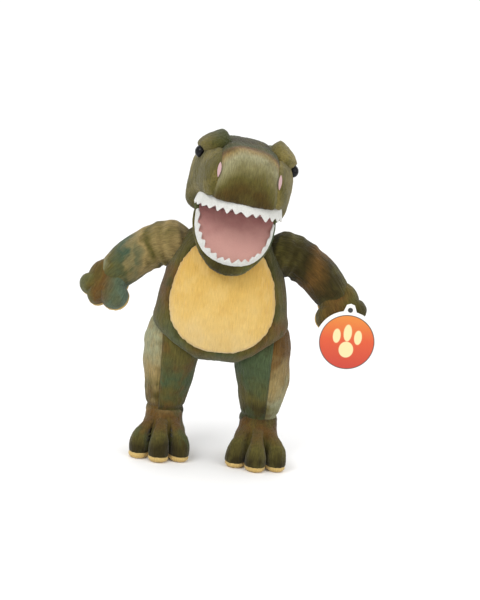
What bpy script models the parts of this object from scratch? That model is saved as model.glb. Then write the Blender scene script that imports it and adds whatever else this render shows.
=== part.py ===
"""A stuffed dinosaur, standing on its feet and facing -Y, with +Z up and +X on its own left. Metres.

Every soft piece is cloth over stuffing: a closed surface is lofted once, the cloth is that surface
with a thickness, and the stuffing is the same surface moved inwards. Panels are cut from one cloth.
Limbs, neck and tail begin as balls about their joints, and the body has a round socket for each."""

import math

import bmesh
import bpy
from mathutils import Matrix, Vector
from mathutils.bvhtree import BVHTree

CLOTH = 0.0025  # plush fabric, backing and pile together
STUFFING_INSET = 0.0034
PAW_INSET = 0.0045  # more, because the gaps between the toes bend sharply
GAP = 0.0004
SEGMENTS = 16
SOCKET_ROOM = 1.045  # a faceted socket clears a faceted ball at any turn

HIP = Vector((0.052, 0.0, 0.138))
HIP_RADIUS = 0.036
HIP_NOTCH = math.radians(-60), math.radians(106)  # backward and forward, from straight down
HIP_NOTCH_X = 0.022, 0.100
SHOULDER = Vector((0.062, 0.0, 0.256))
SHOULDER_RADIUS = 0.027
SEWN_ROOM = 0.002  # more room round the arms and the tail, which widen soon after their balls
NECK = Vector((0.0, 0.002, 0.297))
NECK_RADIUS = 0.0325
TAIL = Vector((0.0, 0.046, 0.154))
TAIL_RADIUS = 0.028
HEAD_TILT, HEAD_TURN = math.radians(7), math.radians(6)
JAW_HINGE = Vector((0.0, -0.045, 0.004))  # in the head's frame
JAW_OPEN = math.radians(60)
JAW_ROLL = 0.0075
SOLE_SEAM = 0.007
EYE_RADIUS = 0.007
TAG_RADIUS = 0.037
TAG_DROP = 0.0384  # from the hole to the middle of the disc
TAG_THICKNESS = 0.0012
FOOTPRINT_MIDDLE = Vector((0.0070, 0.0239, 0.0))  # of the whole toy with its tag, in the body's frame
SIDES = (("left", 1), ("right", -1))

for old in list(bpy.data.objects):
    bpy.data.objects.remove(old, do_unlink=True)

dinosaur = bpy.data.collections.new("stuffed_dinosaur")
helpers = bpy.data.collections.new("cutters")
for collection in (dinosaur, helpers):
    bpy.context.scene.collection.children.link(collection)


def material(name, colour, roughness):
    found = bpy.data.materials.new(name)
    found.use_nodes = True
    shader = found.node_tree.nodes["Principled BSDF"]
    shader.inputs["Base Color"].default_value = (*colour, 1)
    shader.inputs["Roughness"].default_value = roughness
    return found


olive = material("olive_plush", (0.10, 0.10, 0.035), 0.95)
brown = material("brown_plush", (0.10, 0.055, 0.02), 0.95)
teal = material("teal_plush", (0.10, 0.14, 0.10), 0.95)
yellow = material("yellow_plush", (0.66, 0.40, 0.11), 0.95)
pink = material("pink_plush", (0.55, 0.28, 0.24), 0.95)
felt = material("white_felt", (0.80, 0.80, 0.76), 0.95)
fibre = material("stuffing", (0.85, 0.85, 0.82), 1.0)
black = material("black_plastic", (0.01, 0.01, 0.01), 0.08)
washer_grey = material("washer_plastic", (0.5, 0.5, 0.5), 0.5)
card = material("card", (0.85, 0.85, 0.83), 0.4)
thread = material("thread", (0.06, 0.05, 0.02), 0.8)


def add(name, mesh, look=None, parent=None):
    """An object of the model, or a hidden cutter where it has no material."""
    made = bpy.data.objects.new(name, mesh)
    (dinosaur if look else helpers).objects.link(made)
    if look:
        if not mesh.materials:
            mesh.materials.append(look)
        made.material_slots[0].link = "OBJECT"
        made.material_slots[0].material = look
    else:
        made.hide_render = True
        made.display_type = "WIRE"
    made.parent = parent
    return made


def pivot(name, place, turned=None, parent=None):
    made = bpy.data.objects.new(name, None)
    dinosaur.objects.link(made)
    made.parent = parent
    made.matrix_local = Matrix.Translation(place) @ (turned or Matrix())
    return made


def finished(name, shape):
    """The bmesh as a smooth shaded mesh whose faces point out."""
    bmesh.ops.recalc_face_normals(shape, faces=shape.faces)
    mesh = bpy.data.meshes.new(name)
    shape.to_mesh(mesh)
    shape.free()
    mesh.shade_smooth()
    return mesh


def loft(name, rings):
    """A closed skin over rings of points. A ring of one point closes its end."""
    shape = bmesh.new()
    rows = [[shape.verts.new(point) for point in ring] for ring in rings]
    for low, high in zip(rows, rows[1:]):
        count = max(len(low), len(high))
        for i in range(count):
            j = (i + 1) % count
            corners = [low[i % len(low)], low[j % len(low)], high[j % len(high)], high[i % len(high)]]
            shape.faces.new(list(dict.fromkeys(corners)))
    return finished(name, shape)


def oval(centre, side, up, half_side, half_up, power=2.0, half_down=None, power_down=None):
    """Points of a superellipse round the centre, in the plane of the directions side and up. Its
    lower half may have a depth and a power of its own."""
    points = []
    for i in range(SEGMENTS):
        angle = math.tau * (i + 0.5) / SEGMENTS
        across, along = math.cos(angle), math.sin(angle)
        lower = along < 0 and half_down
        bend, reach = (power_down, half_down) if lower else (power, half_up)
        across = math.copysign(abs(across) ** (2 / bend), across) * half_side
        along = math.copysign(abs(along) ** (2 / bend), along) * reach
        points.append(centre + side * across + up * along)
    return points


X, Y, Z = Vector((1, 0, 0)), Vector((0, 1, 0)), Vector((0, 0, 1))


def ball_cap(centre, radius, outward, side, up, angles):
    """Rings of a ball's end, from its pole to the last of the angles in degrees from the pole."""
    rings = [[centre + outward * radius]]
    for angle in map(math.radians, angles):
        middle, half = centre + outward * radius * math.cos(angle), radius * math.sin(angle)
        rings.append(oval(middle, side, up, half, half))
    return rings


def lobed(circles, shrink, middle, count):
    """The outline of overlapping circles, each less the shrink, as seen from the middle."""
    points = []
    for i in range(count):
        ray = Vector((math.cos(math.tau * i / count), math.sin(math.tau * i / count)))
        reach = 0.002
        for x, y, radius in circles:
            offset = Vector((x, y)) - middle
            along = ray.dot(offset)
            inside = max(radius - shrink, 0.0) ** 2 - offset.length_squared + along * along
            if inside > 0:
                reach = max(reach, along + math.sqrt(inside))
        points.append(middle + ray * reach)
    return points


def paw(name, circles, levels, count, frame):
    """A padded paw: one lobed outline per level of (height, shrink, share moved to the middle)."""
    rings = []
    for height, shrink, share, middle in levels:
        middle = Vector(middle)
        moved = [(*Vector((x, y)).lerp(middle, share), r) for x, y, r in circles]
        outline = lobed(moved, shrink, middle, count)
        rings.append([frame @ Vector((x, y, height)) for x, y in outline])
    ends = [frame @ Vector((*levels[i][3], levels[i][0])) for i in (0, -1)]
    return loft(name, [[ends[0]], *rings, [ends[1]]])


def boolean(made, operation, *others):
    for other in others:
        step = made.modifiers.new(other.name, "BOOLEAN")
        step.operation = operation
        step.solver = "EXACT"
        step.object = other
    return made


def displaced(made, distance):
    step = made.modifiers.new("inset", "DISPLACE")
    step.strength = distance
    step.mid_level = 0
    return made


def cloth(name, mesh, look, parent):
    made = add(name, mesh, look, parent)
    step = made.modifiers.new("cloth", "SOLIDIFY")
    step.thickness = CLOTH
    step.offset = -1
    return made


def stuffing(name, mesh, parent):
    return displaced(add(name, mesh, fibre, parent), -STUFFING_INSET)


def grown(name, mesh, parent, by=GAP):
    """A cutter: the outer surface of a piece, and the gap to its neighbours."""
    return displaced(add(name, mesh, None, parent), by)


def pushed(name, outline, direction):
    """The mesh of a flat outline pushed along a direction."""
    shape = bmesh.new()
    near = [shape.verts.new(p) for p in outline]
    far = [shape.verts.new(p + direction) for p in outline]
    shape.faces.new(near)
    shape.faces.new(far[::-1])
    for i in range(len(near)):
        j = (i + 1) % len(near)
        shape.faces.new((near[i], far[i], far[j], near[j]))
    return finished(name, shape)


def prism(name, outline, direction, parent, grow=0.0):
    """A cutter: a flat outline pushed along a direction, grown sideways from its middle."""
    middle = sum(outline, Vector()) / len(outline)
    outline = [p + (p - middle).normalized() * grow for p in outline]
    return add(name, pushed(name, outline, direction), None, parent)


def box(name, low, high, parent=None):
    shape = bmesh.new()
    size = Vector(high) - Vector(low)
    place = Matrix.Translation((Vector(low) + Vector(high)) / 2) @ Matrix.Diagonal((*size, 1))
    bmesh.ops.create_cube(shape, size=1, matrix=place)
    return add(name, finished(name, shape), None, parent)


def ball_mesh(name, radius, squash=(1, 1, 1), count=SEGMENTS):
    shape = bmesh.new()
    bmesh.ops.create_uvsphere(
        shape, u_segments=count, v_segments=count // 2, radius=radius, matrix=Matrix.Diagonal((*squash, 1))
    )
    return finished(name, shape)


def cylinder(name, radius, low, high, parent=None, look=None, count=SEGMENTS):
    """A cylinder along its own Z."""
    shape = bmesh.new()
    place = Matrix.Translation((0, 0, (low + high) / 2))
    bmesh.ops.create_cone(
        shape, cap_ends=True, segments=count, radius1=radius, radius2=radius, depth=high - low, matrix=place
    )
    return add(name, finished(name, shape), look, parent)


def turned(name, profile, look, parent, steps=12):
    """A turned piece: a profile of (radius, height), from the top down its outer side."""
    mesh = bpy.data.meshes.new(name)
    edges = [(i, i + 1) for i in range(len(profile) - 1)]
    mesh.from_pydata([(r, 0, h) for r, h in profile], edges, [])
    made = add(name, mesh, look, parent)
    screw = made.modifiers.new("turn", "SCREW")
    screw.axis = "Z"
    screw.steps = screw.render_steps = steps
    screw.use_merge_vertices = True
    screw.merge_threshold = 0.00001
    screw.use_smooth_shade = True
    return made


def hit(mesh, start, direction):
    """Where a ray meets a mesh, and the outward normal there."""
    shape = bmesh.new()
    shape.from_mesh(mesh)
    place, normal = BVHTree.FromBMesh(shape).ray_cast(start, direction)[:2]
    shape.free()
    return place, normal


def aimed(place, direction):
    return Matrix.Translation(place) @ direction.to_track_quat("Z", "Y").to_matrix().to_4x4()


def tooth_strip(name, lip, inward, up, root, valley, tips, look, parent):
    """A felt strip along a lip, from its root to an edge in points: a valley at each even place and a
    tip at each odd one. Heights are along up, from the lip's own line."""
    thick = 0.0018
    shape = bmesh.new()
    rows = []
    for i, (place, inner) in enumerate(zip(lip, inward)):
        edge = tips[i] if i % 2 else valley
        row = [place + up * root, place + up * edge, place + up * edge + inner * thick]
        row.append(place + up * root + inner * thick)
        rows.append([shape.verts.new(point) for point in row])
    for near, far in zip(rows, rows[1:]):
        for k in range(4):
            shape.faces.new((near[k], far[k], far[(k + 1) % 4], near[(k + 1) % 4]))
    shape.faces.new(rows[0])
    shape.faces.new(rows[-1][::-1])
    return add(name, finished(name, shape), look, parent)


# --- Body ---------------------------------------------------------------------------------------

# Each row: height, half width, front and back.
BODY_ROWS = (
    (0.122, 0.034, -0.022, 0.026),
    (0.130, 0.058, -0.040, 0.040),
    (0.142, 0.074, -0.051, 0.050),
    (0.160, 0.080, -0.059, 0.056),
    (0.180, 0.0795, -0.063, 0.060),
    (0.205, 0.076, -0.062, 0.060),
    (0.228, 0.0705, -0.060, 0.057),
    (0.246, 0.066, -0.055, 0.054),
    (0.262, 0.058, -0.047, 0.050),
    (0.275, 0.046, -0.036, 0.042),
    (0.284, 0.030, -0.024, 0.030),
)
BELLY_MIDDLE, BELLY_HALF_WIDTH = 0.205, 0.0635
BELLY_UP, BELLY_DOWN, BELLY_POWER = 0.080, 0.067, 2.4

rings = [[Vector((0, 0.002, 0.118))]]
for height, half, front, back in BODY_ROWS:
    middle = Vector((0, (front + back) / 2, height))
    rings.append(oval(middle, X, Y, half, (back - front) / 2, 2.2))
rings.append([Vector((0, 0.003, 0.287))])
body_mesh = loft("body", rings)

sockets = []
for name, place, radius in (
    ("neck_socket", NECK, NECK_RADIUS),
    ("tail_socket", TAIL, TAIL_RADIUS + SEWN_ROOM),
    ("left_hip_socket", HIP, HIP_RADIUS),
    ("right_hip_socket", HIP * Vector((-1, 1, 1)), HIP_RADIUS),
    ("left_shoulder_socket", SHOULDER, SHOULDER_RADIUS + SEWN_ROOM),
    ("right_shoulder_socket", SHOULDER * Vector((-1, 1, 1)), SHOULDER_RADIUS + SEWN_ROOM),
):
    socket = add(name, ball_mesh(name, radius * SOCKET_ROOM), None)
    socket.location = place
    sockets.append(socket)


def hip_notch(name, side):
    """Room for the thigh to swing: a fan about the hip, through the side of the body's underside."""
    low, high = HIP_NOTCH
    fan = [Vector((side * HIP_NOTCH_X[0], HIP.y, HIP.z))]
    for i in range(7):
        angle = low + (high - low) * i / 6
        fan.append(fan[0] + Vector((0, -math.sin(angle), -math.cos(angle))) * 0.09)
    return prism(name, fan, X * side * (HIP_NOTCH_X[1] - HIP_NOTCH_X[0]), None)


notches = [hip_notch(f"{label}_hip_notch", side) for label, side in SIDES]


def belly_cutter(name, grow):
    outline = []
    for point in oval(Vector(), X, Z, BELLY_HALF_WIDTH, 1, BELLY_POWER):
        point.z = BELLY_MIDDLE + point.z * (BELLY_UP if point.z > 0 else BELLY_DOWN)
        outline.append(point)
    return prism(name, outline, Y * -0.1, None, grow)


body = pivot("body_frame", Vector())
skin = cloth("body_skin", body_mesh, olive, body)
boolean(skin, "DIFFERENCE", belly_cutter("belly_outline", GAP), *sockets, *notches)
belly = cloth("belly_panel", body_mesh, yellow, body)
boolean(belly, "INTERSECT", belly_cutter("belly_shape", 0))
boolean(belly, "DIFFERENCE", *sockets, *notches)
boolean(stuffing("body_stuffing", body_mesh, body), "DIFFERENCE", *sockets, *notches)


def closing_thread():
    """The hand stitches that close the back after stuffing, as one thread in a zigzag over the seam."""
    curve = bpy.data.curves.new("closing_thread", "CURVE")
    curve.dimensions = "3D"
    curve.bevel_depth = 0.0006
    curve.bevel_resolution = 1
    curve.use_fill_caps = True
    count = 13
    line = curve.splines.new("POLY")
    line.points.add(count - 1)
    for i in range(count):
        start = Vector((0.0035 * (-1) ** i, 0.2, 0.192 + 0.048 * i / (count - 1)))
        place = hit(body_mesh, start, -Y)[0] + Y * 0.0012
        line.points[i].co = (*place, 1)
    made = bpy.data.objects.new("closing_thread", curve)
    dinosaur.objects.link(made)
    curve.materials.append(thread)
    made.parent = body
    weld = made.modifiers.new("weld", "WELD")
    weld.merge_threshold = 0.00001


closing_thread()

# --- Neck ---------------------------------------------------------------------------------------

neck = pivot("neck_joint", NECK)
neck_mesh = ball_mesh("neck", NECK_RADIUS)
holes = [cylinder(f"neck_{where}_hole", 0.017, *span, neck, count=13) for where, span in (
    ("top", (0.01, 0.05)), ("bottom", (-0.05, -0.01)))]
boolean(cloth("neck_skin", neck_mesh, olive, neck), "DIFFERENCE", *holes)
stuffing("neck_stuffing", neck_mesh, neck)

# --- Head ---------------------------------------------------------------------------------------

# Each row, from the back: place along Y, half width, top and bottom, in the head's frame.
HEAD_ROWS = (
    (0.050, 0.022, 0.062, 0.026),
    (0.044, 0.038, 0.076, 0.012),
    (0.028, 0.052, 0.087, 0.000),
    (0.004, 0.0585, 0.091, -0.006),
    (-0.020, 0.060, 0.091, -0.003),
    (-0.040, 0.0575, 0.087, 0.008),
    (-0.060, 0.054, 0.082, 0.015),
    (-0.080, 0.051, 0.078, 0.020),
    (-0.096, 0.046, 0.073, 0.024),
    (-0.106, 0.036, 0.067, 0.028),
    (-0.112, 0.021, 0.058, 0.035),
)
HEAD_WIDEST = 0.38  # how far up the head is widest, above its flatter underside
BROW, BROW_RADIUS, BROW_SQUASH = Vector((0.043, -0.032, 0.0845)), 0.010, (1.4, 2.4, 1.0)
EYE_FROM = Vector((0, -0.043, 0.066))  # an eye is where a line from here along X leaves the head
NOSTRIL_FROM, NOSTRIL_WAY = Vector((0, -0.094, 0.050)), Vector((0.75, -0.20, 0.32))
NOSTRIL_RADIUS, NOSTRIL_SQUASH, NOSTRIL_TURN = 0.004, (0.9, 1.9, 0.65), math.radians(25)


def head_row(y):
    """Half width, top and bottom of the head at a place along Y."""
    for near, far in zip(HEAD_ROWS, HEAD_ROWS[1:]):
        if near[0] >= y >= far[0]:
            share = (near[0] - y) / (near[0] - far[0])
            return [a + (b - a) * share for a, b in zip(near[1:], far[1:])]
    raise ValueError(y)


head_turn = Matrix.Rotation(HEAD_TURN, 4, "Z") @ Matrix.Rotation(HEAD_TILT, 4, "Y")
head = pivot("head_joint", NECK, head_turn)
rings = [[Vector((0, 0.053, 0.044))]]
for y, half, top, bottom in HEAD_ROWS:
    widest = bottom + HEAD_WIDEST * (top - bottom)
    middle = Vector((0, y, widest))
    rings.append(oval(middle, X, Z, half, top - widest, 2.4, widest - bottom, 4.5))
rings.append([Vector((0, -0.1145, 0.046))])
head_mesh = loft("head", rings)
head_cutter = grown("head_outside", head_mesh, head)

neck_room = add("head_socket", ball_mesh("head_socket", NECK_RADIUS * SOCKET_ROOM), None, head)
jaw_room = cylinder("jaw_room", JAW_ROLL + 3 * GAP, -0.054, 0.054, head)
jaw_room.matrix_local = aimed(JAW_HINGE, X)


def palate_cutter(name, grow):
    """The mouth's roof: the head's outline from below, in from its edge, up to the lip."""
    inset = 0.006
    right = [(head_row(y)[0] - inset, y) for y in (-0.046, -0.062, -0.080, -0.094, -0.103)]
    outline = [Vector((x, y, -0.05)) for x, y in right]
    outline += [Vector((-x, y, -0.05)) for x, y in right[::-1]]
    return prism(name, outline, Z * 0.086, head, grow)


def gusset_cutter(name, grow):
    """The middle strip over the head, from its back to the lip, between the two side panels."""
    edge = ((0.022, 0.08), (0.024, 0.02), (0.030, -0.02), (0.034, -0.06), (0.036, -0.09), (0.034, -0.13))
    outline = [Vector((x, y, 0.020)) for x, y in edge]
    outline += [Vector((-x, y, 0.020)) for x, y in edge[::-1]]
    return prism(name, outline, Z * 0.09, head, grow)


eye_stands, eye_holes, eye_pockets = {}, [], []
for label, side in SIDES:
    place, normal = hit(head_mesh, EYE_FROM, X * side)
    stand = pivot(f"{label}_eye_place", Vector(), aimed(place, normal), head)
    eye_stands[label] = stand
    eye_holes.append(cylinder(f"{label}_eye_hole", 0.0024, -0.006, 0.004, stand))
    eye_pockets.append(cylinder(f"{label}_eye_pocket", 0.0075, -0.012, 0.004, stand))

palate_grown, palate_shape = palate_cutter("palate_outline", GAP), palate_cutter("palate_shape", 0)
gusset_grown, gusset_shape = gusset_cutter("gusset_outline", GAP), gusset_cutter("gusset_shape", 0)
common = (neck_room, jaw_room)
gusset = boolean(cloth("head_gusset", head_mesh, olive, head), "INTERSECT", gusset_shape)
boolean(gusset, "DIFFERENCE", palate_grown, *common)
for (label, side), hole in zip(SIDES, eye_holes):
    half = box(f"{label}_half", (side * 0.0003, -0.2, -0.1), (side * 0.1, 0.1, 0.2), head)
    panel = boolean(cloth(f"{label}_head_panel", head_mesh, olive, head), "INTERSECT", half)
    boolean(panel, "DIFFERENCE", gusset_grown, palate_grown, *common, hole)
palate = boolean(cloth("palate_lining", head_mesh, pink, head), "INTERSECT", palate_shape)
boolean(palate, "DIFFERENCE", *common)
boolean(stuffing("head_stuffing", head_mesh, head), "DIFFERENCE", *common, *eye_pockets)

for label, side in SIDES:
    stand = eye_stands[label]
    dome = [(EYE_RADIUS * math.sin(a), 0.0003 + 0.0045 * math.cos(a)) for a in
            [math.radians(18 * i) for i in range(6)]]
    stem = [(EYE_RADIUS, 0.0003), (0.0018, 0.0003), (0.0018, -0.009), (0, -0.009)]
    turned(f"{label}_eye", dome + stem[1:], black, stand)
    ring = [(0.0022, -0.0056), (0.0060, -0.0056), (0.0060, -0.0068), (0.0022, -0.0068), (0.0022, -0.0056)]
    turned(f"{label}_eye_washer", ring, washer_grey, stand)

    brow = add(f"{label}_brow", ball_mesh("brow", BROW_RADIUS, BROW_SQUASH, 14), olive, head)
    brow.location = BROW * Vector((side, 1, 1))
    boolean(brow, "DIFFERENCE", head_cutter)

    outwards = Vector((side * NOSTRIL_WAY.x, NOSTRIL_WAY.y, NOSTRIL_WAY.z)).normalized()
    place, normal = hit(head_mesh, NOSTRIL_FROM, outwards)
    slit = ball_mesh("nostril", NOSTRIL_RADIUS, NOSTRIL_SQUASH, 12)
    nostril = add(f"{label}_nostril", slit, pink, head)
    nostril.matrix_local = aimed(place, normal) @ Matrix.Rotation(NOSTRIL_TURN * side, 4, "Z")
    boolean(nostril, "DIFFERENCE", head_cutter)


def lip_curve(half_width, front, back, round_from, count):
    """Points round a U in the XY plane: straight-ish sides into a round front, with inward directions."""
    points = []
    for i in range(count):
        angle = math.pi * i / (count - 1)
        forward = max(math.sin(angle), 0.0) ** round_from
        points.append(Vector((half_width * math.cos(angle), back + (front - back) * forward, 0)))
    inward = []
    for i, point in enumerate(points):
        along = points[min(i + 1, count - 1)] - points[max(i - 1, 0)]
        inward.append(Vector((along.y, -along.x, 0)).normalized() * -1)
    return points, inward


UPPER_TEETH, LOWER_TEETH = 15, 13
lip, inward = lip_curve(0.049, -0.108, -0.050, 0.62, 2 * UPPER_TEETH + 1)
tips = []
for point in lip:
    depth = (-0.045 - point.y) / 0.063
    point.z = head_row(max(point.y, -0.105))[2]
    tips.append(0.008 + 0.004 * depth)
teeth = tooth_strip("upper_teeth", lip, inward, -Z, -0.009, 0.002, tips, felt, head)
boolean(teeth, "DIFFERENCE", head_cutter)

# --- Jaw ----------------------------------------------------------------------------------------

# Each row: distance from the hinge, half width and half thickness.
JAW_ROWS = (
    (-0.0055, 0.045, 0.0045),
    (0.000, 0.048, JAW_ROLL),
    (0.016, 0.0485, 0.0075),
    (0.032, 0.046, 0.0070),
    (0.048, 0.040, 0.0068),
    (0.061, 0.030, 0.0062),
    (0.070, 0.018, 0.0050),
)
JAW_TIP = 0.0745
jaw = pivot("jaw_joint", JAW_HINGE, Matrix.Rotation(JAW_OPEN, 4, "X"), head)
rings = [[Vector((0, JAW_ROLL, 0))]]
rings += [oval(Vector((0, -s, 0)), X, Z, half, thick, 2.8) for s, half, thick in JAW_ROWS]
rings.append([Vector((0, -JAW_TIP, 0))])
jaw_mesh = loft("jaw", rings)
jaw_cutter = grown("jaw_outside", jaw_mesh, jaw)


def lining_cutter(name, grow):
    inset = 0.0055
    right = [(half - inset, -s) for s, half, thick in JAW_ROWS[1:]]
    outline = [Vector((x, y, 0.0)) for x, y in right] + [Vector((-x, y, 0.0)) for x, y in right[::-1]]
    return prism(name, outline, Z * 0.03, jaw, grow)


under = cloth("jaw_skin", jaw_mesh, olive, jaw)
boolean(under, "DIFFERENCE", lining_cutter("lining_outline", GAP))
boolean(cloth("jaw_lining", jaw_mesh, pink, jaw), "INTERSECT", lining_cutter("lining_shape", 0))
stuffing("jaw_stuffing", jaw_mesh, jaw)
lip, inward = lip_curve(0.043, -0.0690, -0.012, 0.62, 2 * LOWER_TEETH + 1)
tips = [0.0135 + 0.0035 * (-point.y / 0.069) for point in lip]
teeth = tooth_strip("lower_teeth", lip, inward, Z, 0.002, 0.0085, tips, felt, jaw)
boolean(teeth, "DIFFERENCE", jaw_cutter)

# --- Arms and hands -----------------------------------------------------------------------------

# The left arm's middle line after the shoulder, with its half thickness.
ARM_LINE = (
    ((0.087, -0.002, 0.2510), 0.0225),
    ((0.107, -0.007, 0.2380), 0.0235),
    ((0.122, -0.012, 0.2240), 0.0230),
    ((0.134, -0.016, 0.2120), 0.0200),
)
ARM_END = (0.138, -0.018, 0.2045)
# The hand seen on its back: X towards the thumb side of the toy's middle, Y towards the fingers.
HAND_CIRCLES = (
    (0.000, -0.004, 0.024), (-0.021, 0.013, 0.0105), (-0.003, 0.020, 0.0115), (0.017, 0.010, 0.0155),
)
HAND_LEVELS = (
    (-0.015, 0.0050, 0.10), (-0.010, 0.0012, 0.02), (0.000, 0.0, 0.0), (0.009, 0.0015, 0.04),
    (0.015, 0.0055, 0.20),
)
HAND_MIDDLE = Vector((0.1385, -0.018, 0.2045))
PALM_SEAM = -0.005
BACK_OF_HAND = Vector((0.10, -0.90, 0.42)).normalized()
HAND_TURN = math.radians(20)  # the fingers point down and this much out


def hand_frame(side):
    up = Vector((BACK_OF_HAND.x * side, BACK_OF_HAND.y, BACK_OF_HAND.z))
    fingers = (-Z - up * (-Z).dot(up)).normalized()
    thumb = X * -side
    thumb = (thumb - up * thumb.dot(up) - fingers * thumb.dot(fingers)).normalized()
    turn = Matrix((thumb, fingers, up)).transposed().to_4x4() @ Matrix.Rotation(HAND_TURN, 4, "Z")
    place = HAND_MIDDLE * Vector((side, 1, 1))
    return Matrix.Translation(place) @ turn


def mirrored(point, side):
    return Vector((point[0] * side, point[1], point[2]))


def arm_mesh(side):
    line = [(SHOULDER, SHOULDER_RADIUS)] + [(Vector(p), r) for p, r in ARM_LINE]
    first = (line[1][0] - SHOULDER).normalized()
    rings = ball_cap(SHOULDER, SHOULDER_RADIUS, -first, Y, first.cross(Y), (30, 60, 90))
    for (before, _), (place, half), (after, _) in zip(line, line[1:], line[2:] + [(Vector(ARM_END), 0)]):
        along = (after - before).normalized()
        rings.append(oval(place, Y, along.cross(Y), half, half))
    rings.append([Vector(ARM_END)])
    return loft("arm", [[mirrored(point, side) for point in ring] for ring in rings])


hands = {}
for label, side in SIDES:
    arm = pivot(f"{label}_shoulder_joint", mirrored(SHOULDER, side))
    tube = arm_mesh(side)
    tube.transform(Matrix.Translation(-arm.location))
    frame = Matrix.Translation(-arm.location) @ hand_frame(side)
    levels = [(*level, (0, 0)) for level in HAND_LEVELS]
    hand_mesh = paw("hand", HAND_CIRCLES, levels, 22, frame)
    hands[label] = hand_mesh, arm
    tube_cutter = grown(f"{label}_arm_outside", tube, arm)
    hand_cutter = grown(f"{label}_hand_outside", hand_mesh, arm)
    opening = cylinder(f"{label}_arm_opening", 0.015, 0.005, 0.05, arm)
    opening.matrix_local = aimed(Vector(), Vector((-side, 0, 0.25)).normalized())
    sleeve = cloth(f"{label}_arm_skin", tube, olive, arm)
    boolean(sleeve, "DIFFERENCE", hand_cutter, opening)

    palm_box = box(f"{label}_palm_side", (-0.06, -0.06, -0.03), (0.06, 0.06, PALM_SEAM), arm)
    palm_box.matrix_local = frame
    back_box = box(f"{label}_back_side", (-0.06, -0.06, PALM_SEAM + GAP), (0.06, 0.06, 0.03), arm)
    back_box.matrix_local = frame
    back_of_hand = cloth(f"{label}_hand_back", hand_mesh, brown, arm)
    boolean(back_of_hand, "INTERSECT", back_box)
    boolean(back_of_hand, "DIFFERENCE", tube_cutter)
    palm = boolean(cloth(f"{label}_palm", hand_mesh, yellow, arm), "DIFFERENCE", tube_cutter)
    boolean(palm, "INTERSECT", palm_box)
    hand_fill = grown(f"{label}_hand_fill", hand_mesh, arm, -PAW_INSET)
    boolean(stuffing(f"{label}_arm_stuffing", tube, arm), "UNION", hand_fill)

# --- Legs and feet ------------------------------------------------------------------------------

# Each row of the left leg, below the hip ball's widest ring: X, Y and Z of its middle, then its half
# width and half depth.
LEG_ROWS = (
    (0.0545, 0.000, 0.122, 0.0335, 0.0325),
    (0.0570, 0.001, 0.104, 0.0310, 0.0270),
    (0.0575, 0.003, 0.086, 0.0275, 0.0265),
    (0.0580, 0.005, 0.070, 0.0240, 0.0240),
    (0.0580, 0.006, 0.054, 0.0230, 0.0235),
    (0.0580, 0.006, 0.040, 0.0200, 0.0210),
)
LEG_END = (0.058, 0.006, 0.030)
LEG_SEAM = 0.066
FOOT_MIDDLE = Vector((0.058, -0.006))
ANKLE = (0.0, 0.010)
# The left foot from above: the heel and three toes, the inner one first.
FOOT_CIRCLES = (
    (0.000, 0.010, 0.0285), (0.000, -0.006, 0.0275), (-0.0225, -0.033, 0.0135),
    (0.000, -0.041, 0.0145), (0.0235, -0.034, 0.0125),
)
FOOT_LEVELS = (
    (0.000, 0.0040, 0.0, (0, 0)), (0.004, 0.0005, 0.0, (0, 0)), (0.016, 0.0, 0.0, (0, 0)),
    (0.027, 0.0025, 0.03, (0, 0)), (0.035, 0.0055, 0.16, (0, 0.003)), (0.044, 0.0055, 0.45, (0, 0.008)),
    (0.053, 0.0080, 0.8, ANKLE),
)

for label, side in SIDES:
    place = mirrored(HIP, side)
    leg = pivot(f"{label}_hip_joint", place)
    rings = ball_cap(HIP, HIP_RADIUS, Z, X, Y, (28, 55, 78, 98))
    rings += [oval(Vector(row[:3]), X, Y, row[3], row[4]) for row in LEG_ROWS]
    rings.append([Vector(LEG_END)])
    tube = loft("leg", [[mirrored(point, side) - place for point in ring] for ring in rings])
    frame = Matrix.Translation(mirrored((*FOOT_MIDDLE, 0), side) - place)
    circles = [(x * side, y, r) for x, y, r in FOOT_CIRCLES]
    foot_mesh = paw("foot", circles, FOOT_LEVELS, 26, frame)

    tube_cutter = grown(f"{label}_leg_outside", tube, leg)
    foot_cutter = grown(f"{label}_foot_outside", foot_mesh, leg)
    opening = cylinder(f"{label}_leg_opening", 0.019, 0.01, 0.06, leg)
    opening.matrix_local = aimed(Vector(), Vector((-0.45 * side, 0, 1)).normalized())
    seam = side * LEG_SEAM - place.x
    for panel, low, high in (("outer", seam + side * GAP, side * 0.1), ("inner", seam, side * -0.1)):
        half = box(f"{label}_leg_{panel}_side", (min(low, high), -0.1, -0.2), (max(low, high), 0.1, 0.1), leg)
        made = cloth(f"{label}_leg_{panel}_panel", tube, teal if panel == "outer" else olive, leg)
        boolean(made, "INTERSECT", half)
        boolean(made, "DIFFERENCE", foot_cutter, opening)

    low, high = (-0.1, -0.1, -0.2), (0.1, 0.1, SOLE_SEAM - place.z)
    sole_box = box(f"{label}_sole_side", low, high, leg)
    top_box = box(f"{label}_top_side", (-0.1, -0.1, SOLE_SEAM + GAP - place.z), (0.1, 0.1, 0.0), leg)
    top = boolean(cloth(f"{label}_foot_top", foot_mesh, teal, leg), "INTERSECT", top_box)
    boolean(top, "DIFFERENCE", tube_cutter)
    boolean(cloth(f"{label}_sole", foot_mesh, yellow, leg), "INTERSECT", sole_box)
    foot_fill = grown(f"{label}_foot_fill", foot_mesh, leg, -PAW_INSET)
    boolean(stuffing(f"{label}_leg_stuffing", tube, leg), "UNION", foot_fill)

# --- Tail ---------------------------------------------------------------------------------------

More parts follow.
